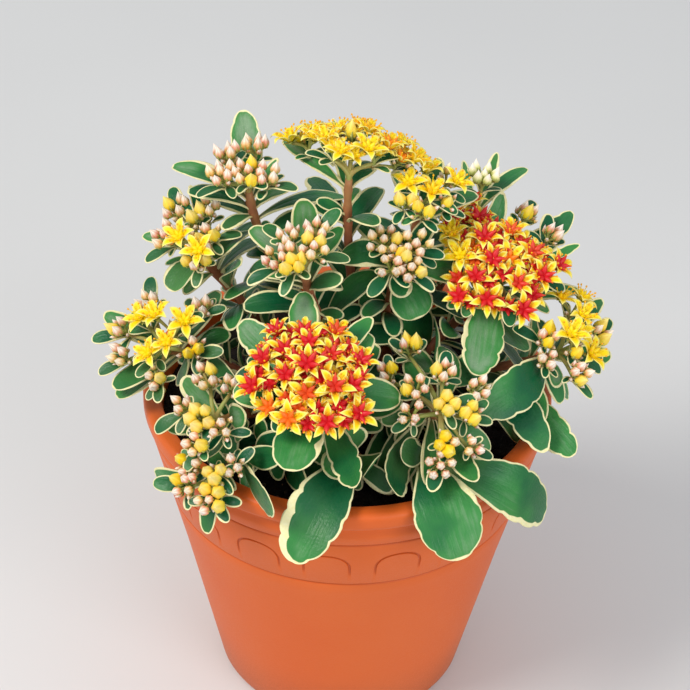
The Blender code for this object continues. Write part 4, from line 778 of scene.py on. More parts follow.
class Skin:
    """The points, faces, finishes and surface values of one piece, gathered part by part.

    The values are the distance from the edge, the places along and across, the tone and what is underside.
    """
    VALUES = ("edge", "along", "aside", "tone", "under")

    def __init__(self):
        self.points, self.faces, self.finish = [], [], []
        self.values = {kind: [] for kind in self.VALUES}
        self.count = 0

    def add(self, points, faces, finish, **values):
        """A part, whose faces are given by the places of its own points."""
        points = np.asarray(points, float).reshape(-1, 3)
        self.points.append(points)
        self.faces += [tuple(self.count + k for k in face) for face in faces]
        self.finish += [finish] * len(faces)
        for kind in self.VALUES:
            self.values[kind].append(np.broadcast_to(np.ravel(values.get(kind, 0.0)), len(points)))
        self.count += len(points)

    def piece(self, name, finishes, node, slot):
        """The gathered piece as an object that stands for a node."""
        mesh = bpy.data.meshes.new(name)
        mesh.from_pydata((np.concatenate(self.points) * MM).tolist(), [], self.faces)
        for finish in finishes:
            mesh.materials.append(finish)
        mesh.polygons.foreach_set("material_index", self.finish)
        for kind in self.VALUES:
            held = mesh.attributes.new(kind, "FLOAT", "POINT")
            held.data.foreach_set("value", np.concatenate(self.values[kind]).astype(np.float32))
        mesh.shade_smooth()
        mesh.update()
        stand_in(placed(name, mesh), node)


def grid_faces(rows, columns, closed=False, turned_over=False):
    """Quads between the points of a grid, which may close on itself across its rows."""
    faces = []
    for r in range(rows - 1):
        for c in range(columns if closed else columns - 1):
            after = (c + 1) % columns
            face = (r * columns + c, r * columns + after, (r + 1) * columns + after, (r + 1) * columns + c)
            faces.append(face[::-1] if turned_over else face)
    return faces


def tube(skin, path, radii, sides, finish, **values):
    """A round stalk along a path, closed at its far end."""
    path = np.asarray(path, float)
    along = np.gradient(path, axis=0)
    side = unit(np.cross(along[0], SIDEWAYS))
    points = []
    for here, ahead, radius in zip(path, along, radii):
        ahead = unit(ahead)
        side = unit(side - ahead * (side @ ahead))
        turns = np.arange(sides) * 2.0 * math.pi / sides
        points.append(here + ring_of(side, np.cross(ahead, side), turns) * radius)
    rows = len(path)
    faces = grid_faces(rows, sides, closed=True)
    faces.append(tuple((rows - 1) * sides + k for k in range(sides)))
    spread = {kind: np.repeat(value, sides) if np.size(value) == rows else value
              for kind, value in values.items()}
    skin.add(np.concatenate(points), faces, finish, **spread)


def blade_sheet(skin, surface, normal, thick, finish, edge, along, aside, tone):
    """A closed blade of given thickness around a grid of surface points."""
    rows, columns = surface.shape[:2]
    upper, lower = surface + normal * thick * 0.5, surface - normal * thick * 0.5
    n = rows * columns
    faces = grid_faces(rows, columns, turned_over=True)
    faces += [tuple(n + k for k in face) for face in grid_faces(rows, columns)]
    rim = [r * columns for r in range(rows)]
    rim += [(rows - 1) * columns + c for c in range(1, columns)]
    rim += [r * columns + columns - 1 for r in range(rows - 2, -1, -1)]
    rim += [c for c in range(columns - 2, 0, -1)]
    for k, here in enumerate(rim):
        after = rim[(k + 1) % len(rim)]
        faces.append((here, n + here, n + after, after))
    edge, along, aside = (np.tile(np.ravel(value), 2) for value in (edge, along, aside))
    skin.add(np.concatenate([upper.reshape(-1, 3), lower.reshape(-1, 3)]), faces, finish, edge=edge,
             along=along, aside=aside, tone=tone, under=np.repeat((0.0, 1.0), n))


LEAF_ACROSS = np.array((-1.0, -0.93, -0.82, -0.64, -0.4, -0.14, 0.0, 0.14, 0.4, 0.64, 0.82, 0.93, 1.0))
SMALL_LEAF = 18.5       # length under which a leaf has a coarser mesh, mm
LEAF_ROWS = ((SMALL_LEAF, 12), (30.0, 22), (42.0, 34), (math.inf, 46))  # rows of a leaf under each length
TEETH_FROM, TEETH_FULL = 27.0, 41.0     # lengths from which a leaf has teeth, and full ones, mm


def leaf(skin, blade, leaves, finish, draw):
    """A fleshy leaf with a sunken midrib, raised sides and shallow rounded teeth towards its end."""
    chord = blade.tip - blade.root
    length = np.linalg.norm(chord)
    rows = next(rows for longest, rows in LEAF_ROWS if length < longest)
    places = LEAF_ACROSS[::2] if length < SMALL_LEAF else LEAF_ACROSS
    s = np.sin(np.linspace(0.0, 1.0, rows) ** 0.9 * 0.5 * np.pi) * 0.998
    s, c = np.meshgrid(s, places, indexing="ij")
    teeth = leaves.teeth_depth / MM
    count, phase = 3.0 + length * 0.075, draw.uniform(0.0, 1.0)
    toothed = min(1.0, max(0.08, (length - TEETH_FROM) / (TEETH_FULL - TEETH_FROM)))
    reach = np.clip((s - 0.4) / 0.15, 0.0, 1.0) * toothed
    notch = (1.0 - np.abs(np.sin(math.pi * (count * s + phase + 0.45 * (c > 0.0))))) ** 2.0
    half = blade.width * leaf_half(s)
    half = np.maximum(0.02, half - teeth * reach * notch * np.minimum(1.0, half / 5.0))
    up, across = blade.up, unit(np.cross(chord, blade.up))
    lift = up * blade.arch * length
    ahead = chord + lift * (4.0 * (1.0 - 2.0 * s))[..., None]
    normal = np.cross(across, ahead)
    normal /= np.linalg.norm(normal, axis=-1, keepdims=True)
    points = blade.root + chord * s[..., None] + lift * (4.0 * s * (1.0 - s))[..., None]
    points += across * (half * c)[..., None]
    cup = leaves.cupping * draw.uniform(0.4, 1.5)
    wave, bend = draw.uniform(0.0, 6.28), draw.uniform(-1.0, 1.0)
    rise = cup * half * np.abs(c) ** 1.7
    rise -= 0.34 * np.exp(-(half * c / 0.8) ** 2) * np.clip(1.15 - s, 0.0, 1.0)
    rise += 0.028 * half * c * np.abs(c) * np.sin(6.0 * s + wave)
    rise += 0.02 * half * np.abs(c) * np.sin(13.0 * s + 2.0 * wave + c * 1.5)
    rise += bend * 0.012 * length * np.maximum(0.0, s - 0.45) ** 2 * 4.0
    rise -= 0.12 * half * c * c
    points += normal * rise[..., None]
    thick = leaves.thickness / MM * (0.5 + 0.5 * (1.0 - np.abs(c) ** 3)) * np.clip(1.15 - s, 0.3, 1.0)
    edge = np.minimum(half * (1.0 - np.abs(c)), (1.0 - s) * length)
    side, middle = draw.choice((-1.0, 1.0)), draw.uniform(0.35, 0.9)
    spread = draw.uniform(0.06, 0.22)
    deep = blade.width * max(0.0, draw.uniform(-0.14, 0.2))
    edge -= deep * np.exp(-((s - middle) / spread) ** 2) * np.clip(side * c, 0.0, 1.0)
    tone = min(1.0, max(0.0, 0.62 * blade.tone + 0.6 * (blade.at - 0.6)))
    blade_sheet(skin, points, normal, thick[..., None], finish, edge, s, half * c, tone)


def stem_skin(skin, plant, finish):
    """A shoot's stem, a little swollen where its leaves sit."""
    spots = np.linspace(-0.02, 1.0, 42)
    path = [bezier(plant.stem, max(0.0, at)) + UP * min(0.0, at) * 100.0 for at in spots]
    radii = STEM_BASE + (STEM_TIP - STEM_BASE) * np.clip(spots, 0.0, 1.0)
    for blade in plant.blades:
        radii += 0.16 * np.exp(-((spots - blade.at) / 0.02) ** 2)
    tube(skin, path, np.minimum(radii, STEM_BASE + 0.25), 12, finish, along=np.clip(spots, 0.0, 1.0))


PETAL, CARPEL, STAMEN, SEPAL, BUD, STALK, BRACT = range(7)     # places of a head's finishes
HEAD_FINISHES = ("petal", "carpel", "stamen", "sepal", "flower_bud", "flower_stalk", "small_leaf")
PETAL_ROWS = np.array((0.0, 0.12, 0.26, 0.42, 0.58, 0.72, 0.84, 0.93, 1.0))
PETAL_ACROSS = np.array((-1.0, -0.55, 0.0, 0.55, 1.0))


def petal(skin, heart, along, axis, reach, width, rise, curl, tone, finish):
    """A pointed petal, folded along its middle, that rises and bends out."""
    across = np.cross(axis, along)
    coarse = 2 if finish == SEPAL else 1
    s, c = np.meshgrid(PETAL_ROWS[::coarse], PETAL_ACROSS[::coarse], indexing="ij")
    half = 0.5 * width * (0.5 + 0.5 * np.sin(np.pi * np.minimum(0.5, s / 0.7)))
    half = half * np.clip(1.0 - np.maximum(0.0, (s - 0.45) / 0.55) ** 1.6, 0.03, 1.0)
    out = reach * (0.13 + 0.87 * s)
    up = rise * np.sin(s * 1.9) - curl * s ** 3 + 0.32 * half * np.abs(c) ** 1.5
    points = heart + along * out[..., None] + axis * up[..., None] + across * (half * c)[..., None]
    normal = np.broadcast_to(axis, points.shape)
    thick = 0.42 * np.clip(1.2 - s, 0.3, 1.0)[..., None]
    blade_sheet(skin, points, normal, thick, finish, half * (1.0 - np.abs(c)), s, half * c, tone)


def open_flower(skin, bloom, flowers, draw):
    """Five spread petals, ten stamens and a star of five carpels that redden with age, over five sepals."""
    heart, axis, size, red = bloom.heart, bloom.axis, bloom.size, bloom.age
    side, other = sides_of(axis)
    reach = flowers.petal_length / MM * size
    lift = draw.uniform(-0.6, 1.6)
    for k in range(5):
        turn = bloom.turn + k * 0.4 * math.pi + draw.uniform(-0.06, 0.06)
        out = turned(side, other, turn)
        rise = 2.0 + lift + draw.uniform(-0.5, 0.6) + 0.7 * red
        petal(skin, heart - axis * 0.5, out, axis, reach * draw.uniform(0.93, 1.0),
              flowers.petal_width / MM * size * (1.0 - 0.2 * red), rise, draw.uniform(0.2, 1.0), red, PETAL)
        turn += 0.2 * math.pi
        out = turned(side, other, turn)
        petal(skin, heart - axis * 1.5, out, axis, 2.9 * size, 1.2, 1.0, 0.0, 0.5, SEPAL)
        tilt = unit(out * (0.5 + 0.15 * red) + axis * 0.9)
        length = (2.9 + 1.9 * red) * size
        foot = heart + out * 0.45
        path = [foot - axis * 0.6, foot + tilt * 0.25 * length, foot + tilt * 0.6 * length + out * 0.1,
                foot + tilt * 0.85 * length + out * 0.35 * red,
                foot + tilt * length + out * (0.3 + 0.8 * red)]
        radii = np.array((0.5, 0.85, 0.62, 0.3, 0.04)) * (1.05 + 0.6 * red)
        tube(skin, path, radii, 6, CARPEL, along=(0.0, 0.25, 0.6, 0.85, 1.0), tone=red)
    for k in range(10):
        turn = bloom.turn + (k + 0.25) * 0.2 * math.pi + draw.uniform(-0.1, 0.1)
        out = turned(side, other, turn)
        tilt = unit(out * draw.uniform(0.55, 0.95) + axis)
        length = draw.uniform(3.6, 4.6) * size
        foot = heart + out * 0.9
        end = foot + tilt * length
        tube(skin, [foot, foot + tilt * 0.5 * length, end], (0.17, 0.14, 0.11), 4, STAMEN,
             along=(0.0, 0.4, 0.8), tone=red)
        tube(skin, [end + tilt * way for way in (-0.35, -0.1, 0.3, 0.45)], (0.1, 0.36, 0.3, 0.05), 5, STAMEN,
             along=(0.9, 1.0, 1.0, 1.0), tone=red)


BUD_RISE = np.array((0.0, 0.07, 0.18, 0.32, 0.45, 0.58, 0.71, 0.82, 0.92, 1.0))
BUD_WIDE = np.array((0.4, 0.74, 0.99, 1.07, 0.98, 0.79, 0.54, 0.33, 0.15, 0.02))
SMALL_BUD = 1.1         # radius under which a bud has a coarser mesh, mm


def flower_bud(skin, bud, flowers, unripe, draw):
    """A pointed bud of five furled petals held by five short sepals, greener the more unripe it is."""
    side, other = sides_of(bud.axis)
    small = bud.radius < SMALL_BUD
    sides, every = (10, 3) if small else (15, 1)
    rises, widths = BUD_RISE[::every], BUD_WIDE[::every]
    turns = np.arange(sides) * 2.0 * math.pi / sides + draw.uniform(0.0, 6.28)
    lobes = 1.0 + flowers.bud_lobes * np.cos(5.0 * (turns - turns[0]))
    points = []
    for rise, wide in zip(rises, widths):
        ring = ring_of(side, other, turns + 0.5 * rise)
        points.append(bud.seat + bud.axis * bud.length * rise + ring * (lobes * wide * bud.radius)[:, None])
    rows = len(rises)
    faces = grid_faces(rows, sides, closed=True) + [tuple((rows - 1) * sides + k for k in range(sides))]
    tone = 1.0 - draw.uniform(0.0, 0.3) if bud.ripe else draw.uniform(0.0, 0.42)
    furrow = np.tile(np.cos(5.0 * (turns - turns[0])) * 0.5 + 0.5, rows)
    skin.add(np.concatenate(points), faces, BUD, along=np.repeat(rises, sides), tone=tone, edge=furrow,
             under=unripe)
    for k in range(5):
        out = turned(side, other, turns[0] + (k + 0.5) * 0.4 * math.pi)
        hug = bud.radius * 0.92
        length = bud.length * 0.42
        path = [bud.seat + bud.axis * rise + out * hug * wide
                for rise, wide in ((-0.2, 0.35), (0.12 * length, 0.8), (0.5 * length, 1.07), (length, 1.1))]
        radii = np.array((0.2, 0.33, 0.24, 0.04)) * bud.radius
        tube(skin, path, radii, 3 if small else 4, SEPAL, along=(0.0, 0.3, 0.6, 1.0), tone=tone)


def curved(start, end, lean, count=6):
    """A stalk's path that leaves its fork along the lean and bends to its end."""
    reach = np.linalg.norm(end - start)
    return [bezier([start, start + lean * 0.45 * reach, end], t) for t in np.linspace(0.0, 1.0, count)]


BRACT_OWNER = 99        # marks the room that the heads' small leaves take
BRACT_TURNS = (-1.1, 0.1, 1.2)                      # round their ray, radians
BRACT_SPREADS = (0.4, 0.6, 0.8, 1.0, 1.3, 1.6)      # how far each try may turn from there
BRACT_WIDTH = 0.42      # per length
BRACT_APART = 0.5       # kept from the next one, mm
GREENEST = "far_right"  # the shoot whose buds are the least ripe
WIDEST = 15.0           # between two flowers that may have another one between them, mm
DENSEST = 4.3           # between that one and the others


def bracts(skin, room, plant, ray, out, leaves, draw):
    """The small leaves under a ray's buds and flowers, each turned until it has room."""
    for swing in BRACT_TURNS:
        for spread in BRACT_SPREADS:
            turn = swing + draw.uniform(-spread, spread)
            aim = unit(turned(out, np.cross(plant.axis, out), turn) + plant.axis * draw.uniform(-0.1, 0.5))
            length = draw.uniform(5.0, 9.5) * (1.4 if abs(swing) < 1.0 else 1.0)
            root = ray.fork - ray.lean * draw.uniform(0.5, 2.5)
            up = unit(plant.axis - aim * (plant.axis @ aim))
            tone = draw.uniform(0.3, 1.0)
            blade = Blade(0.0, root, root + aim * length, up, length * BRACT_WIDTH, ARCH, tone)
            if room.free("leaf", blade_points(blade, 0.35, 0.9)):
                room.take("leaf", BRACT_OWNER, blade_points(blade, 0.4, 0.9), BRACT_APART)
                leaf(skin, blade, leaves, BRACT, draw)
                break


def head_skin(room, plant, flowers, leaves):
    """A whole flower head: rays, stalks, small leaves, buds and open flowers."""
    skin, draw = Skin(), random.Random(len(plant.name) * 131 + sum(map(ord, plant.name)))
    base = plant.base - plant.axis * 0.6
    for ray in plant.rays:
        items = ray.middle + ray.ringed
        if not items:
            continue
        path = curved(base, ray.fork, plant.axis, 9)
        tube(skin, path, np.linspace(0.95, 0.62, 9), 8, STALK, along=np.linspace(0.0, 0.5, 9),
             tone=draw.uniform(0.6, 1.0))
        out = ray.fork - plant.base
        out = out - plant.axis * (out @ plant.axis)
        out = unit(out + 0.01 * sides_of(plant.axis)[0])
        unripe = 1.0 if plant.name == GREENEST else draw.uniform(0.0, 0.25)
        bracts(skin, room, plant, ray, out, leaves, draw)
        small_buds(skin, ray, flowers, unripe, draw)
        for item in items:
            if isinstance(item, Bloom):
                end, thin = item.heart - item.axis * 1.3, 0.5
            else:
                end, thin = item.seat + item.axis * 0.2, 0.4
            path = curved(ray.fork - ray.lean * 0.3, end, ray.lean)
            radii = np.array((0.75, 0.55, 0.5, 0.48, 0.55, 0.75)) * (thin + 0.5)
            tube(skin, path, radii, 6, STALK, along=np.linspace(0.4, 1.0, 6), tone=draw.random())
            if isinstance(item, Bloom):
                open_flower(skin, item, flowers, draw)
            else:
                flower_bud(skin, item, flowers, unripe, draw)
    crowded_flowers(skin, plant, flowers, draw)
    return skin


def crowded_flowers(skin, plant, flowers, draw):
    """In a dense head, half-hidden older flowers that stand a little lower between the others."""
    blooms = [item for ray in plant.rays for item in ray.middle + ray.ringed if isinstance(item, Bloom)]
    if len(blooms) < flowers.dense_head:
        return
    taken = [bloom.heart for bloom in blooms]
    for k, one in enumerate(blooms):
        for two in blooms[k + 1:]:
            heart = (one.heart + two.heart) * 0.5 - plant.axis * draw.uniform(1.4, 2.6)
            apart = np.linalg.norm(one.heart - two.heart)
            if apart > WIDEST or min(np.linalg.norm(heart - other) for other in taken) < DENSEST:
                continue
            taken.append(heart)
            axis = unit(one.axis + two.axis + sides_of(plant.axis)[0] * draw.uniform(-0.3, 0.3))
            age = min(1.0, 0.5 * (one.age + two.age) * draw.uniform(0.8, 1.3))
            bloom = Bloom(heart, axis, draw.uniform(0.0, 1.2), 0.9 * one.size, age)
            open_flower(skin, bloom, flowers, draw)


def small_buds(skin, ray, flowers, unripe, draw):
    """The youngest buds of a ray, on short stalks under and between the others."""
    side, other = sides_of(ray.lean)
    crowd = ray.middle + ray.ringed
    count = flowers.small_buds if any(isinstance(item, Bud) for item in crowd) else 1
    for k in range(count):
        turn = 2.0 * math.pi * (k + draw.uniform(-0.25, 0.25)) / count + 0.6
        away = turned(side, other, turn)
        face = unit(ray.lean + away * draw.uniform(0.5, 1.1))
        radius = draw.uniform(0.62, 0.98)
        seat = ray.fork + face * draw.uniform(2.2, 4.0) + away * draw.uniform(0.2, 1.6)
        tube(skin, curved(ray.fork, seat + face * 0.2, ray.lean, 4), (0.5, 0.36, 0.34, 0.4), 5, STALK,
             along=np.linspace(0.4, 1.0, 4), tone=draw.random())
        flower_bud(skin, Bud(seat, face, radius, radius * 3.3, False), flowers, unripe, draw)


# Node groups and finishes

class Nodes:
    """Short words for making and joining a tree's nodes."""

    def __init__(self, tree):
        self.tree = tree

    def new(self, kind, **settings):
        """A node with these settings."""
        node = self.tree.nodes.new(kind)
        for name, value in settings.items():
            setattr(node, name, value)
        return node

    def feed(self, node, **inputs):
        """Sets or links a node's inputs, which i0, i1 and so on name by their place."""
        for key, value in inputs.items():
            numbered = key[0] == "i" and key[1:].isdigit()
            there = node.inputs[int(key[1:]) if numbered else key.replace("_", " ")]
            if isinstance(value, bpy.types.NodeSocket):
                self.tree.links.new(value, there)
            else:
                there.default_value = value
        return node

    def value(self, name):
        """A surface value of the piece."""
        return self.new("ShaderNodeAttribute", attribute_name=name).outputs["Fac"]

    def maths(self, operation, first, second, clamp=False):
        """What an operation makes of two values."""
        node = self.new("ShaderNodeMath", operation=operation, use_clamp=clamp)
        return self.feed(node, i0=first, i1=second).outputs[0]

    times = functools.partialmethod(maths, "MULTIPLY")
    plus = functools.partialmethod(maths, "ADD")
    less = functools.partialmethod(maths, "SUBTRACT")

    def ramp(self, amount, low, high):
        """A smooth rise from 0 at low to 1 at high, which may be the lower one."""
        node = self.new("ShaderNodeMapRange", interpolation_type="SMOOTHSTEP")
        return self.feed(node, Value=amount, From_Min=low, From_Max=high).outputs["Result"]

    def mix(self, amount, first, second):
        """A colour between two, each a socket or a setting of the sidebar."""
        first, second = (value if isinstance(value, bpy.types.NodeSocket) else (*value, 1.0)
                         for value in (first, second))
        node = self.new("ShaderNodeMix", data_type="RGBA")
        return self.feed(node, i0=amount, i6=first, i7=second).outputs[2]

    def noise(self, place, scale, detail=3.0):
        """Soft noise about 0.5."""
        node = self.new("ShaderNodeTexNoise")
        return self.feed(node, Vector=place, Scale=scale, Detail=detail).outputs["Fac"]

    def place(self):
        """Where the surface is, in metres."""
        return self.new("ShaderNodeTexCoord").outputs["Object"]

    def group(self, name, **inputs):
        """What a shared effect, which is made once, puts out for these values."""
        tree = bpy.data.node_groups.get(name) or EFFECTS[name](name)
        return self.feed(self.new("ShaderNodeGroup", node_tree=tree), **inputs).outputs

    def mottle(self, blotches, grains):
        """Blotches and grains, so many to a metre."""
        return self.group("Mottle and grain", Blotch_scale=blotches, Grain_scale=grains)


def new_effect(name, inputs, outputs):
    """An empty node group, with the words for its nodes and what its inputs give."""
    tree = bpy.data.node_groups.new(name, "ShaderNodeTree")
    for title, value in inputs.items():
        made = tree.interface.new_socket(name=title, in_out="INPUT", socket_type="NodeSocketFloat")
        made.default_value = value
    for title in outputs:
        tree.interface.new_socket(name=title, in_out="OUTPUT", socket_type="NodeSocketFloat")
    nodes = Nodes(tree)
    return tree, nodes, nodes.new("NodeGroupInput").outputs


def mottle_group(name):
    """Soft blotches and fine grain over a surface, as values from 0 to 1."""
    tree, nodes, given = new_effect(name, {"Blotch scale": 60.0, "Grain scale": 900.0}, ("Blotch", "Grain"))
    place = nodes.place()
    blotch = nodes.ramp(nodes.noise(place, given["Blotch scale"]), 0.32, 0.68)
    grain = nodes.noise(place, given["Grain scale"], 2.0)
    nodes.feed(nodes.new("NodeGroupOutput"), Blotch=blotch, Grain=grain)
    return tree


def rim_group(name):
    """A band along a leaf's edge, of uneven width."""
    tree, nodes, given = new_effect(name, {"Distance": 1.0, "Width": 0.8, "Unevenness": 0.5}, ("Band",))
    slow = nodes.noise(nodes.place(), 110.0, 2.0)
    width = nodes.plus(given["Width"], nodes.times(nodes.less(slow, 0.5), given["Unevenness"]))
    past = nodes.less(given["Distance"], width)
    nodes.feed(nodes.new("NodeGroupOutput"), Band=nodes.less(1.0, nodes.ramp(past, -0.16, 0.16)))
    return tree


def streak_group(name):
    """Fine streaks and flecks drawn out along a leaf, as values from 0 to 1."""
    tree, nodes, given = new_effect(name, {"Scale": 300.0}, ("Streak", "Fleck"))
    lane = nodes.feed(nodes.new("ShaderNodeCombineXYZ"), X=nodes.times(nodes.value("aside"), 0.001),
                      Y=nodes.times(nodes.value("along"), 0.004), Z=nodes.value("tone"))
    streak = nodes.noise(lane.outputs[0], nodes.times(given["Scale"], 2.0))
    fleck = nodes.noise(nodes.place(), nodes.times(given["Scale"], 6.0), 1.0)
    nodes.feed(nodes.new("NodeGroupOutput"), Streak=nodes.ramp(streak, 0.35, 0.7),
               Fleck=nodes.ramp(fleck, 0.55, 0.8))
    return tree


EFFECTS = {"Mottle and grain": mottle_group, "Pale leaf edge": rim_group, "Leaf streaks": streak_group}


def finish(name, roughness, **settings):
    """A new material's nodes and its shader."""
    material = bpy.data.materials.new(name)
    material.use_nodes = True
    nodes = Nodes(material.node_tree)
    shader = material.node_tree.nodes["Principled BSDF"]
    shader.inputs["Roughness"].default_value = roughness
    for key, value in settings.items():
        shader.inputs[key.replace("_", " ")].default_value = value
    return material, nodes, shader


def bumped(nodes, shader, height, strength, distance):
    """Gives a finish a fine relief."""
    bump = nodes.feed(nodes.new("ShaderNodeBump"), Height=height, Strength=strength, Distance=distance)
    nodes.feed(shader, Normal=bump.outputs["Normal"])


def leaf_finish(name, colours, young):
    """Green with a cream edge: deep and glossy low down, grey-green and waxy inside on young leaves, lighter
    and waxier towards the tip, partly a painted sheen.
    """
    material, nodes, shader = finish(name, 0.42, Specular_IOR_Level=0.3)
    marks = nodes.mottle(42.0, 1100.0)
    tone, edge, along = nodes.value("tone"), nodes.value("edge"), nodes.value("along")
    patch = nodes.plus(nodes.times(tone, 0.8), nodes.times(marks["Blotch"], 0.4))
    # Lighter and waxier towards the tip, deeper at the foot: partly the leaf's own grading from foot to tip,
    # partly a painted sheen at the tip.
    patch = nodes.plus(patch, nodes.times(nodes.less(along, 0.5), 0.4))
    green = nodes.mix(nodes.ramp(patch, 0.3, 0.9), colours.leaf_deep, colours.leaf_fresh)
    broad = nodes.ramp(nodes.noise(nodes.place(), 26.0, 2.0), 0.45, 0.7)
    green = nodes.mix(nodes.times(broad, 0.4), green, colours.leaf_olive)
    streaks = nodes.group("Leaf streaks", Scale=500.0)
    inner = nodes.ramp(edge, 0.5, 1.5 if young else 3.2)
    cloud = nodes.plus(patch, nodes.times(streaks["Streak"], 0.14))
    waxy = nodes.times(inner, nodes.ramp(cloud, 0.5 if young else 0.72, 1.15))
    waxy = nodes.times(waxy, nodes.plus(0.75, nodes.times(streaks["Fleck"], 0.5)), clamp=True)
    green = nodes.mix(nodes.times(waxy, 0.9), green, colours.leaf_waxy)
    green = nodes.mix(nodes.times(marks["Grain"], 0.22), green, colours.leaf_deep)
    green = nodes.mix(nodes.times(nodes.value("under"), 0.6), green, colours.leaf_under)
    rib = nodes.ramp(along, 0.3, 0.0)
    green = nodes.mix(nodes.times(rib, 0.5), green, colours.stem_green)
    width, unevenness = (0.4, 0.6) if young else (0.62, 1.5)
    band = nodes.group("Pale leaf edge", Distance=edge, Width=width, Unevenness=unevenness)
    cream = nodes.mix(marks["Grain"], colours.leaf_edge, colours.leaf_edge_pale)
    nodes.feed(shader, Base_Color=nodes.mix(band["Band"], green, cream))
    gloss = nodes.plus(nodes.times(marks["Grain"], 0.22), nodes.plus(0.26, nodes.times(waxy, 0.22)))
    nodes.feed(shader, Roughness=gloss)
    height = nodes.plus(marks["Grain"], nodes.times(streaks["Streak"], 0.6))
    bumped(nodes, shader, height, 0.35, 0.0004)
    return material


def stem_finish(colours):
    """Red-brown below, fresher towards the head."""
    material, nodes, shader = finish("stem_skin", 0.5, Specular_IOR_Level=0.35)
    marks = nodes.mottle(90.0, 700.0)
    along = nodes.value("along")
    fresh = nodes.ramp(nodes.plus(along, nodes.times(marks["Blotch"], 0.25)), 0.8, 1.6)
    red = nodes.mix(marks["Blotch"], colours.stem_brown, colours.stem_red)
    nodes.feed(shader, Base_Color=nodes.mix(fresh, red, colours.stem_green))
    bumped(nodes, shader, marks["Grain"], 0.35, 0.0006)
    return material


def stalk_finish(colours):
    """Flower stalks, green with a pink flush."""
    material, nodes, shader = finish("flower_stalk", 0.5, Specular_IOR_Level=0.35)
    marks = nodes.mottle(160.0, 900.0)
    flush = nodes.times(nodes.ramp(nodes.value("tone"), 0.45, 1.0), 0.55)
    flush = nodes.times(flush, marks["Blotch"])
    nodes.feed(shader, Base_Color=nodes.mix(flush, colours.stalk_green, colours.stem_red))
    return material


def petal_finish(colours):
    """Yellow petals with paler sides and points and a warm foot, warmer along the middle with age."""
    material, nodes, shader = finish("petal", 0.5, Specular_IOR_Level=0.25)
    along, age = nodes.value("along"), nodes.value("tone")
    pale = nodes.maths("MAXIMUM", nodes.ramp(along, 0.6, 1.0), nodes.ramp(nodes.value("edge"), 0.75, 0.1))
    yellow = nodes.mix(nodes.times(pale, 0.75), colours.petal, colours.petal_tip)
    marks = nodes.mottle(300.0, 1500.0)
    flush = nodes.times(nodes.ramp(along, 0.75, 0.1), nodes.ramp(nodes.value("edge"), 0.1, 0.9))
    old = nodes.times(age, age)
    flush = nodes.times(flush, nodes.plus(0.08, nodes.times(old, 0.95)))
    flush = nodes.times(flush, nodes.plus(0.6, marks["Blotch"]), clamp=True)
    nodes.feed(shader, Base_Color=nodes.mix(flush, yellow, colours.petal_warm))
    bumped(nodes, shader, marks["Grain"], 0.2, 0.0003)
    return material


def carpel_finish(colours):
    """Yellow, orange or red by the flower's age."""
    material, nodes, shader = finish("carpel", 0.42, Specular_IOR_Level=0.4)
    age = nodes.value("tone")
    young = nodes.mix(nodes.ramp(age, 0.15, 0.5), colours.petal, colours.carpel_orange)
    old = nodes.mix(nodes.ramp(age, 0.45, 0.75), young, colours.carpel_red)
    tip = nodes.times(nodes.ramp(nodes.value("along"), 0.7, 1.0), 0.3)
    nodes.feed(shader, Base_Color=nodes.mix(tip, old, colours.carpel_orange))
    return material


def stamen_finish(colours):
    """Yellow threads with orange ends, redder on old flowers."""
    material, nodes, shader = finish("stamen", 0.5, Specular_IOR_Level=0.3)
    thread = nodes.mix(nodes.ramp(nodes.value("tone"), 0.5, 1.0), colours.petal, colours.carpel_red)
    end = nodes.ramp(nodes.value("along"), 0.8, 0.95)
    nodes.feed(shader, Base_Color=nodes.mix(end, thread, colours.anther))
    return material


def sepal_finish(colours):
    """Green, yellower at the ends."""
    material, nodes, shader = finish("sepal", 0.5, Specular_IOR_Level=0.3)
    tip = nodes.ramp(nodes.value("along"), 0.3, 1.0)
    nodes.feed(shader, Base_Color=nodes.mix(tip, colours.stalk_green, colours.sepal_tip))
    return material


def bud_finish(colours):
    """Orange at the foot, pink, and white at the point; ripe buds are yellow, the least ripe greenish."""
    material, nodes, shader = finish("flower_bud", 0.4, Specular_IOR_Level=0.35)
    along, ripe, green = nodes.value("along"), nodes.value("tone"), nodes.value("under")
    marks = nodes.mottle(240.0, 1300.0)
    foot = nodes.ramp(nodes.plus(along, nodes.times(marks["Blotch"], 0.2)), 0.55, 0.12)
    pink = nodes.mix(nodes.ramp(ripe, 0.05, 0.42), colours.bud_pink, colours.bud_cream)
    pale = nodes.mix(nodes.ramp(along, 0.4, 0.72), pink, colours.bud_tip)
    pale = nodes.mix(foot, pale, colours.bud_foot)
    yellow = nodes.mix(nodes.times(nodes.ramp(along, 0.6, 1.0), 0.6), colours.bud_yellow, colours.petal_tip)
    colour = nodes.mix(nodes.ramp(ripe, 0.3, 0.7), pale, yellow)
    seam = nodes.times(nodes.ramp(nodes.value("edge"), 0.45, 0.0), nodes.ramp(ripe, 1.5, 0.2))
    line = nodes.mix(ripe, colours.bud_seam, colours.petal_warm)
    colour = nodes.mix(nodes.times(seam, 0.75), colour, line)
    fresh = nodes.mix(nodes.ramp(along, 0.15, 0.7), colours.bud_green, colours.petal_tip)
    fresh = nodes.mix(nodes.ramp(along, 0.3, 0.8), fresh, colours.bud_tip)
    nodes.feed(shader, Base_Color=nodes.mix(green, colour, fresh))
    bumped(nodes, shader, marks["Grain"], 0.2, 0.0003)
    return material


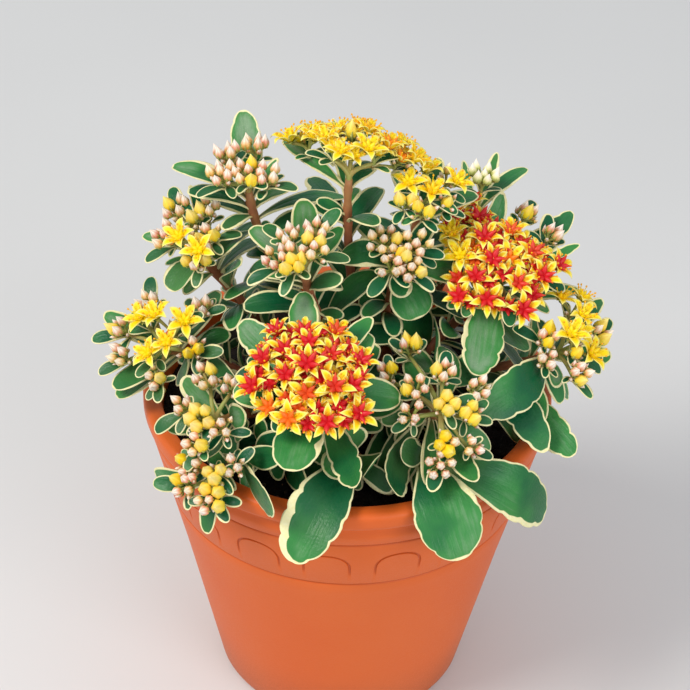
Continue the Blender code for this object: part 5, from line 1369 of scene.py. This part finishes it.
def pot_finish(colours):
    """Terracotta-coloured moulded plastic: faint clouding, fine texture, dust in its lower parts, and
    painted shade darkening its grooves and arches.
    """
    material, nodes, shader = finish("terracotta_plastic", 0.5, Specular_IOR_Level=0.35)
    marks = nodes.mottle(22.0, 1600.0)
    cloud = nodes.times(marks["Blotch"], 0.3)
    clay = nodes.mix(cloud, colours.pot, colours.pot_pale)
    height = nodes.feed(nodes.new("ShaderNodeSeparateXYZ"), Vector=nodes.place())
    dust = nodes.times(nodes.ramp(height.outputs["Z"], 0.03, 0.0), marks["Grain"])
    clay = nodes.mix(nodes.times(dust, 0.5), clay, colours.soil_pale)
    # Painted shade: darker the deeper a point lies in a groove or an arch.
    groove_shade = nodes.times(nodes.value("edge"), 0.4)
    nodes.feed(shader, Base_Color=nodes.mix(groove_shade, clay, colours.pot_groove_shade))
    gloss = nodes.plus(0.36, nodes.times(marks["Grain"], 0.22))
    nodes.feed(shader, Roughness=gloss)
    bumped(nodes, shader, marks["Grain"], 0.22, 0.0003)
    return material


def compost_finish(colours):
    """Dark damp compost with paler crumbs."""
    material, nodes, shader = finish("compost", 0.92, Specular_IOR_Level=0.2)
    marks = nodes.mottle(170.0, 700.0)
    dark = nodes.mix(marks["Blotch"], colours.soil_dark, colours.soil)
    crumbs = nodes.ramp(nodes.value("tone"), 0.55, 1.0)
    nodes.feed(shader, Base_Color=nodes.mix(crumbs, dark, colours.soil_pale))
    bumped(nodes, shader, marks["Grain"], 0.8, 0.0015)
    return material


# Values to change in the sidebar

def colour(name, description, value):
    """A colour of the sidebar."""
    return FloatVectorProperty(name=name, description=description, subtype="COLOR", size=3, min=0.0, max=1.0,
                               default=value)


def length(name, description, value, most):
    """A length of the sidebar, in metres."""
    return FloatProperty(name=name, description=description, subtype="DISTANCE", unit="LENGTH", min=0.0,
                         max=most, default=value, precision=5)


class PotSizes(bpy.types.PropertyGroup):
    groove: length("Groove depth", "Depth of the two grooves round the pot", GROOVE * MM, 0.002)
    arch_line: length("Arch line", "Width of the engraved line of an arch", 0.0013, 0.003)
    arch_foot: length("Arch foot", "Height of the arches' feet over the ground", 0.0872, 0.11)
    arch_top: length("Arch top", "Height of the arches' tops over the ground", 0.0988, 0.11)
    arches: IntProperty(name="Arches", description="Arches round the pot", min=6, max=20, default=17)
    steps: IntProperty(name="Steps", description="Facets round the pot", min=64, max=512, default=240)
    crumbs: IntProperty(name="Crumbs", description="Loose bits on the compost", min=0, max=3000, default=900)


class LeafSizes(bpy.types.PropertyGroup):
    thickness: length("Thickness", "Thickness of a leaf at its middle", 0.0009, 0.003)
    teeth_depth: length("Teeth", "Depth of the notches between a large leaf's rounded teeth", 0.0009, 0.004)
    cupping: FloatProperty(name="Cupping", description="How far a leaf's sides rise, per half width",
                           min=0.0, max=1.0, default=0.2)


class FlowerSizes(bpy.types.PropertyGroup):
    petal_length: length("Petal length", "From the flower's middle to a petal's point", 0.0068, 0.012)
    petal_width: length("Petal width", "Widest part of a petal", 0.003, 0.006)
    bud_lobes: FloatProperty(name="Bud lobes", description="How far a bud's five petals bulge, per radius",
                             min=0.0, max=0.3, default=0.1)
    small_buds: IntProperty(name="Small buds", description="Youngest buds on each ray of buds", min=0, max=8,
                            default=4)
    dense_head: IntProperty(name="Dense head", description="Open flowers from which a head has more of them",
                            min=2, max=30, default=9)


class PlantColours(bpy.types.PropertyGroup):
    pot: colour("Pot", "Terracotta-coloured plastic", (0.7, 0.118, 0.014))
    pot_pale: colour("Pot, pale", "Faint paler clouds in the plastic", (0.76, 0.16, 0.025))
    # Painted shade: the dark mixed into the grooves and the arches' lines.
    pot_groove_shade: colour("Pot, dark", "Dirt in the grooves", (0.3, 0.03, 0.006))
    soil: colour("Compost", "Compost", (0.022, 0.014, 0.01))
    soil_dark: colour("Compost, dark", "Damp hollows of the compost", (0.006, 0.004, 0.003))
    soil_pale: colour("Compost, pale", "Pale crumbs", (0.17, 0.11, 0.07))
    leaf_deep: colour("Leaf, deep", "Deep green of grown leaves", (0.004, 0.1, 0.035))
    leaf_fresh: colour("Leaf, fresh", "Fresh green of younger leaves", (0.05, 0.28, 0.055))
    leaf_waxy: colour("Leaf, waxy", "Waxy bloom along the middle of young leaves", (0.3, 0.41, 0.27))
    leaf_olive: colour("Leaf, olive", "Yellower patches of grown leaves", (0.13, 0.25, 0.06))
    leaf_under: colour("Leaf, underside", "Paler undersides", (0.1, 0.3, 0.12))
    leaf_edge: colour("Leaf edge", "Cream of the leaf's edge", (0.84, 0.74, 0.3))
    leaf_edge_pale: colour("Leaf edge, pale", "Palest cream", (0.95, 0.9, 0.6))
    stem_brown: colour("Stem, brown", "Old stem", (0.33, 0.1, 0.05))
    stem_red: colour("Stem, red", "Red flush", (0.5, 0.15, 0.07))
    stem_green: colour("Stem, green", "Fresh stem", (0.4, 0.3, 0.09))
    stalk_green: colour("Stalk", "Flower stalks", (0.36, 0.4, 0.1))
    sepal_tip: colour("Sepal tip", "Ends of the sepals", (0.5, 0.5, 0.12))
    petal: colour("Petal", "Yellow of the petals", (1.0, 0.77, 0.008))
    petal_tip: colour("Petal tip", "Pale points of petals and ripe buds", (1.0, 0.9, 0.3))
    petal_warm: colour("Petal, warm", "Orange foot of older petals", (0.97, 0.34, 0.008))
    carpel_orange: colour("Carpel, orange", "Ripening carpels", (0.95, 0.22, 0.012))
    carpel_red: colour("Carpel, red", "Ripe carpels", (0.68, 0.012, 0.02))
    anther: colour("Anther", "Ends of the stamens", (0.95, 0.45, 0.01))
    bud_foot: colour("Bud foot", "Foot of a young bud", (0.88, 0.4, 0.05))
    bud_seam: colour("Bud seam", "Seams between a young bud's petals", (0.5, 0.13, 0.06))
    bud_pink: colour("Bud pink", "Pink of a young bud", (0.92, 0.36, 0.25))
    bud_cream: colour("Bud cream", "Creamier young buds", (0.97, 0.58, 0.27))
    bud_tip: colour("Bud tip", "White point of a young bud", (1.0, 0.9, 0.78))
    bud_yellow: colour("Bud yellow", "Ripe bud", (1.0, 0.72, 0.012))
    bud_green: colour("Bud green", "Foot of the least ripe buds", (0.5, 0.58, 0.18))
    floor: colour("Floor", "Studio floor", (0.72, 0.72, 0.71))


class StageSizes(bpy.types.PropertyGroup):
    lamp_power: FloatProperty(name="Lamp", description="Power of the large soft lamp, in watts", min=0.0,
                              max=500.0, default=11.0)
    fill_power: FloatProperty(name="Fill", description="Power of the fill lamp, in watts", min=0.0,
                              max=500.0, default=5.0)
    sky: FloatProperty(name="Sky", description="Strength of the even light from all round", min=0.0, max=5.0,
                       default=0.62)


# Operators

SHELF = {
    "petal": petal_finish,
    "carpel": carpel_finish,
    "stamen": stamen_finish,
    "sepal": sepal_finish,
    "flower_bud": bud_finish,
    "flower_stalk": stalk_finish,
    "stem_skin": stem_finish,
    "leaf": functools.partial(leaf_finish, "leaf", young=False),
    "small_leaf": functools.partial(leaf_finish, "small_leaf", young=True),
}


def shelf(*names):
    """These materials, which more than one piece uses, each made once."""
    colours = bpy.context.scene.stonecrop_colours
    return [bpy.data.materials.get(name) or SHELF[name](colours=colours) for name in names]


def lathe_points(profile, steps):
    """The points of a section that is turned round the pot's axis."""
    turns = np.arange(steps) * 2.0 * math.pi / steps
    r, z = np.asarray(profile, float).T
    return np.stack([r[:, None] * np.cos(turns), r[:, None] * np.sin(turns),
                     np.broadcast_to(z[:, None], (len(r), steps))], -1).reshape(-1, 3)


FLOOR_RING = 36.0       # radius of the flat floor with the drain holes
DRAIN_SIDES = 24
# Places over a groove's middle, with the share of its depth there
GROOVE_SECTION = ((0.75, 0.0), (0.4, 0.35), (0.15, 0.95), (-0.15, 0.95), (-0.4, 0.35), (-0.75, 0.0))


def pot_profile(groove):
    """The pot's section, from its lip down the outside with its grooves, and back up the inside."""
    neck, mouth = POT_HEIGHT - RIM_ROLL - 0.4, RIM_RADIUS - RIM_ROLL
    tuck = cone_radius(neck) - NECK_STEP
    outer = [(mouth + 0.3, POT_HEIGHT - 0.35), (mouth + 1.0, POT_HEIGHT), (RIM_RADIUS - 1.9, POT_HEIGHT),
             (RIM_RADIUS - 0.75, POT_HEIGHT - 0.35), (RIM_RADIUS - 0.15, POT_HEIGHT - 1.1),
             (RIM_RADIUS, POT_HEIGHT - 2.0), (RIM_RADIUS, neck + 1.8), (RIM_RADIUS - 0.3, neck + 0.7),
             (RIM_RADIUS - 1.0, neck), (tuck + 0.3, neck - 0.2), (tuck, neck - 0.7),
             (cone_radius(neck - 3.0) - 0.9, neck - 2.6), (cone_radius(neck - 3.0) - 0.3, neck - 3.8),
             (cone_radius(neck - 5.0), neck - 5.2)]
    for level in GROOVE_LEVELS:
        for drop, share in GROOVE_SECTION:
            outer.append((cone_radius(level + drop) - groove * share, level + drop))
    outer += [(cone_radius(z), z) for z in np.linspace(78.0, 2.4, 14)]
    outer += [(BASE_RADIUS - 0.15, 1.2), (BASE_RADIUS - 0.6, 0.4), (BASE_RADIUS - 1.3, 0.0)]
    inner = [(cone_radius(POT_FLOOR) - POT_WALL, POT_FLOOR)]
    inner += [(cone_radius(z) - POT_WALL, z) for z in np.linspace(10.0, 100.0, 8)]
    inner += [(mouth - 0.4, neck - 4.0), (mouth - 0.1, POT_HEIGHT - 3.0), (mouth, POT_HEIGHT - 1.1)]
    return [*outer, (FLOOR_RING, 0.0), (FLOOR_RING, POT_FLOOR), *inner]


ARCH_HALF = 6.8         # half an arch's width, degrees round the pot
FIRST_ARCH = -4.7       # the first one's middle, degrees from the viewer's side
ARCH_SPRING = 5.0       # height of its round part over its feet
ARCH_POINTS = 19        # along its round part
# Height over the feet, with the share of the full depth there
ARCH_LEG = ((0.0, 0.0), (1.4, 0.4), (3.0, 0.85))
SHADED_LEVELS = (80.0, 107.0)   # levels between which the grooves and arches are darkened with painted shade
DEEPEST = 1.5           # of what belongs to the pot's outside


def arch_path(pot):
    """One arch, foot to foot: degrees from its middle, height over the ground, share of the full depth."""
    foot, top = pot.arch_foot / MM, pot.arch_top / MM
    spring = foot + ARCH_SPRING
    path = []
    for turn in np.radians(np.linspace(180.0, 0.0, ARCH_POINTS)):
        path.append((ARCH_HALF * math.copysign(abs(math.cos(turn)) ** 0.9, math.cos(turn)),
                     spring + (top - spring) * math.sin(turn) ** 0.9, 1.0))
    start = [(-ARCH_HALF, foot + rise, share) for rise, share in ARCH_LEG]
    end = [(ARCH_HALF, foot + rise, share) for rise, share in ARCH_LEG[::-1]]
    return start + path + end


def formed(form, name):
    """A placed object of what the form holds, with its faces turned outwards."""
    bmesh.ops.recalc_face_normals(form, faces=form.faces)
    mesh = bpy.data.meshes.new(name)
    form.to_mesh(mesh)
    form.free()
    return placed(name, mesh)


class STONECROP_OT_make_pot(bpy.types.Operator):
    """Turn the pot, with its lip, neck, grooves and engraved arches"""
    bl_idname = "stonecrop.make_pot"
    bl_label = "Make the pot"
    bl_options = {"REGISTER", "UNDO"}

    def execute(self, context):
        sizes = context.scene.stonecrop_pot
        profile = pot_profile(sizes.groove / MM)
        rows, steps = len(profile), sizes.steps
        form = bmesh.new()
        points = [form.verts.new(p * MM) for p in lathe_points(profile, steps)]
        rings = [points[r * steps:(r + 1) * steps] for r in range(rows)]
        bottom = profile.index((FLOOR_RING, 0.0))
        for r in range(rows):
            if r != bottom:
                ring, below = rings[r], rings[(r + 1) % rows]
                for c in range(steps):
                    after = (c + 1) % steps
                    form.faces.new((ring[c], below[c], below[after], ring[after]))
        self.close_floor(form, rings[bottom], rings[bottom + 1])
        pot = formed(form, "nursery_pot")
        self.engrave(context, pot, sizes)
        mesh = pot.data
        # The pot's edge value holds the painted shade of its grooves and arches.
        mesh.attributes.new("edge", "FLOAT", "POINT").data.foreach_set("value", self.groove_shade(mesh))
        mesh.materials.append(pot_finish(context.scene.stonecrop_colours))
        mesh.shade_smooth()
        mesh.set_sharp_from_angle(angle=math.radians(38.0))
        stand_in(pot, "pot")
        return {"FINISHED"}

    def groove_shade(self, mesh):
        """How much painted shade each point of the pot gets, by how deep it lies in a groove or an arch."""
        held = []
        for vertex in mesh.vertices:
            x, y, z = vertex.co / MM
            sunk = cone_radius(z) - math.hypot(x, y)
            outside = SHADED_LEVELS[0] < z < SHADED_LEVELS[1] and sunk < DEEPEST
            held.append(min(1.0, max(0.0, sunk / GROOVE)) if outside else 0.0)
        return held

    def close_floor(self, form, under, over):
        """Closes the pot's floor between two rings, and leaves its drain holes open."""
        edges, rims = [], []
        for ring, z in ((under, 0.0), (over, POT_FLOOR)):
            edges.append([form.edges.get(pair) for pair in zip(ring, ring[1:] + ring[:1])])
            rims.append([])
            for k in range(DRAIN_HOLES):
                turn = 2.0 * math.pi * (k + 0.25) / DRAIN_HOLES
                x, y = DRAIN_RING * math.cos(turn), DRAIN_RING * math.sin(turn)
                rim = [(x + DRAIN_RADIUS * math.cos(a), y + DRAIN_RADIUS * math.sin(a), z)
                       for a in even(DRAIN_SIDES)]
                hole = [form.verts.new(np.array(point) * MM) for point in rim]
                edges[-1] += [form.edges.new(pair) for pair in zip(hole, hole[1:] + hole[:1])]
                rims[-1].append(hole)
        for low, high in zip(*rims):
            for k in range(DRAIN_SIDES):
                after = (k + 1) % DRAIN_SIDES
                form.faces.new((low[k], low[after], high[after], high[k]))
        for loop in edges:
            bmesh.ops.triangle_fill(form, use_beauty=True, use_dissolve=False, edges=loop)

    def engrave(self, context, pot, sizes):
        """Cuts the arches into the wall, each with a fine wedge along its line that runs out at the feet."""
        wide = sizes.arch_line / MM * 0.5
        lane = arch_path(sizes)
        form = bmesh.new()
        for arch in range(sizes.arches):
            middle = math.radians(arch * 360.0 / sizes.arches - 90.0 + FIRST_ARCH)
            rings = []
            for k, (degrees, z, share) in enumerate(lane):
                before, after = lane[max(0, k - 1)], lane[min(len(lane) - 1, k + 1)]
                flow = np.array((math.radians(after[0] - before[0]) * cone_radius(z), after[1] - before[1]))
                flow /= np.linalg.norm(flow)
                ring, deep = [], 0.15 - 0.6 * share
                for aside, lift in ((-1.0, 0.3), (1.0, 0.3), (0.4, deep), (-0.4, deep)):
                    step = np.array((-flow[1], flow[0])) * aside * wide
                    level = z + step[1]
                    angle = middle + math.radians(degrees) + step[0] / cone_radius(z)
                    spot = np.array((math.cos(angle), math.sin(angle))) * (cone_radius(level) + lift)
                    ring.append(form.verts.new((spot[0] * MM, spot[1] * MM, level * MM)))
                rings.append(ring)
            for ring, after in zip(rings, rings[1:]):
                for k in range(4):
                    form.faces.new((ring[k], ring[(k + 1) % 4], after[(k + 1) % 4], after[k]))
            form.faces.new(rings[0])
            form.faces.new(rings[-1])
        cutter = formed(form, "arch_cutter")
        cut = pot.modifiers.new("arches", "BOOLEAN")
        cut.operation = "DIFFERENCE"
        cut.object = cutter
        cut.solver = "EXACT"
        context.view_layer.update()
        engraved = bpy.data.meshes.new_from_object(pot.evaluated_get(context.evaluated_depsgraph_get()))
        pot.modifiers.clear()
        pot.data = engraved
        bpy.data.objects.remove(cutter)


SOIL_RINGS = 64         # over the compost's top
SOIL_STEPS = 180        # round it
SOIL_DEPTHS = (96.0, 60.0, POT_FLOOR + 0.5)     # levels of its rings down the wall
SOIL_WALL = RIM_RADIUS - RIM_ROLL - 0.9         # its radius at the top


def soil_lumps(x, y):
    """How high the compost's top stands over its mean, in waves of different sizes."""
    lump = 0.9 * np.sin(0.31 * x + 1.0) * np.cos(0.27 * y) + 0.6 * np.sin(0.23 * (x + y))
    lump += 0.5 * np.sin(1.1 * x + 0.7 * y) * np.sin(0.9 * y - 0.6 * x)
    u, v = 2.3 * x - 1.9 * y + 2.0 * np.sin(0.7 * y), 2.1 * y + 1.7 * np.sin(0.8 * x)
    lump += 0.35 * np.sin(u) * np.cos(v)
    return 0.55 * lump


class STONECROP_OT_make_compost(bpy.types.Operator):
    """Fill the pot with crumbly compost"""
    bl_idname = "stonecrop.make_compost"
    bl_label = "Make the compost"
    bl_options = {"REGISTER", "UNDO"}

    def execute(self, context):
        draw = random.Random(SEED)
        profile = [(radius, SOIL_TOP) for radius in np.linspace(0.6, SOIL_WALL, SOIL_RINGS)]
        profile += [(cone_radius(z) - POT_WALL - 0.5, z) for z in SOIL_DEPTHS]
        points = lathe_points(profile, SOIL_STEPS)
        top = points[:, 2] > SOIL_TOP - 1.0
        points[:, 2] += np.where(top, soil_lumps(points[:, 0], points[:, 1]), 0.0)
        skin, rows = Skin(), len(profile)
        faces = grid_faces(rows, SOIL_STEPS, closed=True, turned_over=True)
        faces.append(tuple(range(SOIL_STEPS)))
        faces.append(tuple((rows - 1) * SOIL_STEPS + k for k in range(SOIL_STEPS))[::-1])
        skin.add(points, faces, 0, tone=0.2)
        for _ in range(context.scene.stonecrop_pot.crumbs):
            turn, out = draw.uniform(0.0, 2.0 * math.pi), (SOIL_WALL - 2.0) * math.sqrt(draw.random())
            size = 0.4 + 1.3 * draw.random() ** 2.5
            centre = (out * math.cos(turn), out * math.sin(turn), SOIL_TOP + 0.3 * size)
            self.crumb(skin, centre, size, draw)
        finishes = [compost_finish(context.scene.stonecrop_colours)]
        skin.piece("potting_compost", finishes, "soil", "compost")
        return {"FINISHED"}

    def crumb(self, skin, centre, size, draw):
        """An uneven bit of bark, peat or grit."""
        across = np.array([draw.uniform(0.6, 1.5), draw.uniform(0.6, 1.2), draw.uniform(0.4, 0.9)]) * size
        turn = draw.uniform(0.0, 3.14)
        points = [(0.0, 0.0, 1.0), (0.0, 0.0, -1.0)]
        for level, wide, shift in ((0.5, 0.85, 0.0), (-0.45, 0.9, 0.5)):
            for k in range(5):
                angle = (k + shift) * 0.4 * math.pi
                reach = wide * draw.uniform(0.8, 1.15)
                height = level * draw.uniform(0.8, 1.1)
                points.append((reach * math.cos(angle), reach * math.sin(angle), height))
        points = np.array(points) * across
        c, s = math.cos(turn), math.sin(turn)
        spin = np.array(((c, -s, 0.0), (s, c, 0.0), (0.0, 0.0, 1.0)))
        faces = []
        for k in range(5):
            after = (k + 1) % 5
            faces += [(0, 2 + k, 2 + after), (1, 7 + after, 7 + k), (2 + k, 7 + k, 2 + after),
                      (2 + after, 7 + k, 7 + after)]
        skin.add(points @ spin.T + centre, faces, 0, tone=draw.random() ** 2.0)


class STONECROP_OT_grow_shoots(bpy.types.Operator):
    """Grow the stems and their cream-edged leaves"""
    bl_idname = "stonecrop.grow_shoots"
    bl_label = "Grow the leafy shoots"
    bl_options = {"REGISTER", "UNDO"}

    def execute(self, context):
        finishes = shelf("stem_skin", "leaf")
        for number, plant in enumerate(grown()[1]):
            draw = random.Random(SEED * 400 + number)
            skin = Skin()
            stem_skin(skin, plant, 0)
            for blade in plant.blades:
                leaf(skin, blade, context.scene.stonecrop_leaf, 1, draw)
            skin.piece("shoot_" + plant.name, finishes, "leafy_stem_" + plant.name, "leaf_and_stem")
        return {"FINISHED"}


class STONECROP_OT_grow_heads(bpy.types.Operator):
    """Grow the flower heads, with their buds and open flowers"""
    bl_idname = "stonecrop.grow_heads"
    bl_label = "Grow the flower heads"
    bl_options = {"REGISTER", "UNDO"}

    def execute(self, context):
        finishes = shelf(*HEAD_FINISHES)
        slots = {part["node"]: part["material_slot"] for part in frame["record"]["subparts"]}
        kept, plants = grown()
        room = copy.deepcopy(kept)
        for plant in plants:
            if plant.rays:
                skin = head_skin(room, plant, context.scene.stonecrop_flower, context.scene.stonecrop_leaf)
                node = "head_" + plant.name
                skin.piece("flowers_" + plant.name, finishes, node, slots[node])
        return {"FINISHED"}


FLOOR_REACH = 6         # half the side of the floor, metres
LAMP_AIM = Vector((0.0, 0.0, 0.13))
SOFT_LAMP = ("soft_lamp", (-0.75, -0.45, 1.15), 0.55, (1.0, 0.985, 0.95))   # name, place, size and tint
FILL_LAMP = ("fill_lamp", (0.7, -0.9, 0.6), 0.8, (0.94, 0.97, 1.0))
SKY_TINT = (0.94, 0.96, 1.0, 1.0)
SENSOR = 36.0           # width of the camera's sensor, mm


class STONECROP_OT_set_stage(bpy.types.Operator):
    """Lay the pale floor and set the lamps and the camera of the photograph"""
    bl_idname = "stonecrop.set_stage"
    bl_label = "Set the stage"
    bl_options = {"REGISTER", "UNDO"}

    def execute(self, context):
        stage = context.scene.stonecrop_stage
        self.floor(context.scene.stonecrop_colours.floor)
        self.lamp(*SOFT_LAMP, stage.lamp_power)
        self.lamp(*FILL_LAMP, stage.fill_power)
        world = bpy.data.worlds.new("even_light")
        world.use_nodes = True
        sky = world.node_tree.nodes["Background"].inputs
        sky["Color"].default_value = SKY_TINT
        sky["Strength"].default_value = stage.sky
        context.scene.world = world
        context.scene.view_settings.view_transform = "Standard"
        context.scene.camera = self.camera()
        return {"FINISHED"}

    def floor(self, pale):
        """The plain floor under the pot."""
        mesh = bpy.data.meshes.new("studio_floor")
        corners = [(x * FLOOR_REACH, y * FLOOR_REACH, 0.0) for x, y in ((-1, -1), (1, -1), (1, 1), (-1, 1))]
        mesh.from_pydata(corners, [], [(0, 1, 2, 3)])
        material, nodes, shader = finish("studio_floor", 0.8)
        marks = nodes.mottle(3.0, 300.0)
        dim = [0.97 * share for share in pale]
        nodes.feed(shader, Base_Color=nodes.mix(marks["Blotch"], pale, dim))
        mesh.materials.append(material)
        placed("studio_floor", mesh)

    def lamp(self, name, place, size, tint, power):
        """A round soft lamp that shines at the plant."""
        light = bpy.data.lights.new(name, "AREA")
        light.shape = "DISK"
        light.size = size
        light.energy = power
        light.color = tint
        lamp = placed(name, light)
        lamp.location = place
        lamp.rotation_mode = "QUATERNION"
        lamp.rotation_quaternion = (LAMP_AIM - Vector(place)).to_track_quat("-Z", "Y")

    def camera(self):
        """The camera, where the photograph was taken from."""
        camera = bpy.data.cameras.new("camera")
        camera.sensor_width = SENSOR
        camera.lens = VIEW_FOCAL / (2.0 * VIEW_CENTRE) * SENSOR
        camera.clip_start = 0.01
        turn, lean = math.cos(VIEW_ROLL), math.sin(VIEW_ROLL)
        columns = (RIGHT * turn + UPWARD * lean, UPWARD * turn - RIGHT * lean, -FORWARD)
        seat = placed("camera", camera)
        seat.matrix_world = Matrix.Translation(Vector(EYE) * MM) @ Matrix(columns).transposed().to_4x4()
        return seat


class STONECROP_PT_sidebar(bpy.types.Panel):
    """Sizes and colours of the plant, and what makes each part of it"""
    bl_idname = "STONECROP_PT_sidebar"
    bl_label = "Potted Stonecrop"
    bl_space_type = "VIEW_3D"
    bl_region_type = "UI"
    bl_category = "Stonecrop"

    def draw(self, context):
        for operator in OPERATORS:
            self.layout.operator(operator.bl_idname)
        for name, (label, group) in GROUPS.items():
            box = self.layout.box()
            box.label(text=label)
            for key in group.__annotations__:
                box.prop(getattr(context.scene, name), key)


OPERATORS = (STONECROP_OT_make_pot, STONECROP_OT_make_compost, STONECROP_OT_grow_shoots,
             STONECROP_OT_grow_heads, STONECROP_OT_set_stage)
GROUPS = {
    "stonecrop_pot": ("Pot", PotSizes),
    "stonecrop_leaf": ("Leaves", LeafSizes),
    "stonecrop_flower": ("Flowers", FlowerSizes),
    "stonecrop_colours": ("Colours", PlantColours),
    "stonecrop_stage": ("Stage", StageSizes),
}


def register():
    """Makes the operators, the panel and the sidebar's values known to Blender."""
    for name, (_, group) in GROUPS.items():
        bpy.utils.register_class(group)
        setattr(bpy.types.Scene, name, PointerProperty(type=group))
    for kind in (*OPERATORS, STONECROP_PT_sidebar):
        bpy.utils.register_class(kind)


def unregister():
    """Takes them away again."""
    for kind in (STONECROP_PT_sidebar, *reversed(OPERATORS)):
        bpy.utils.unregister_class(kind)
    for name, (_, group) in reversed(GROUPS.items()):
        delattr(bpy.types.Scene, name)
        bpy.utils.unregister_class(group)


def main():
    """Builds the whole scene."""
    register()
    bpy.ops.stonecrop.make_pot()
    bpy.ops.stonecrop.make_compost()
    bpy.ops.stonecrop.grow_shoots()
    bpy.ops.stonecrop.grow_heads()
    bpy.ops.stonecrop.set_stage()


if __name__ == "__main__":
    main()
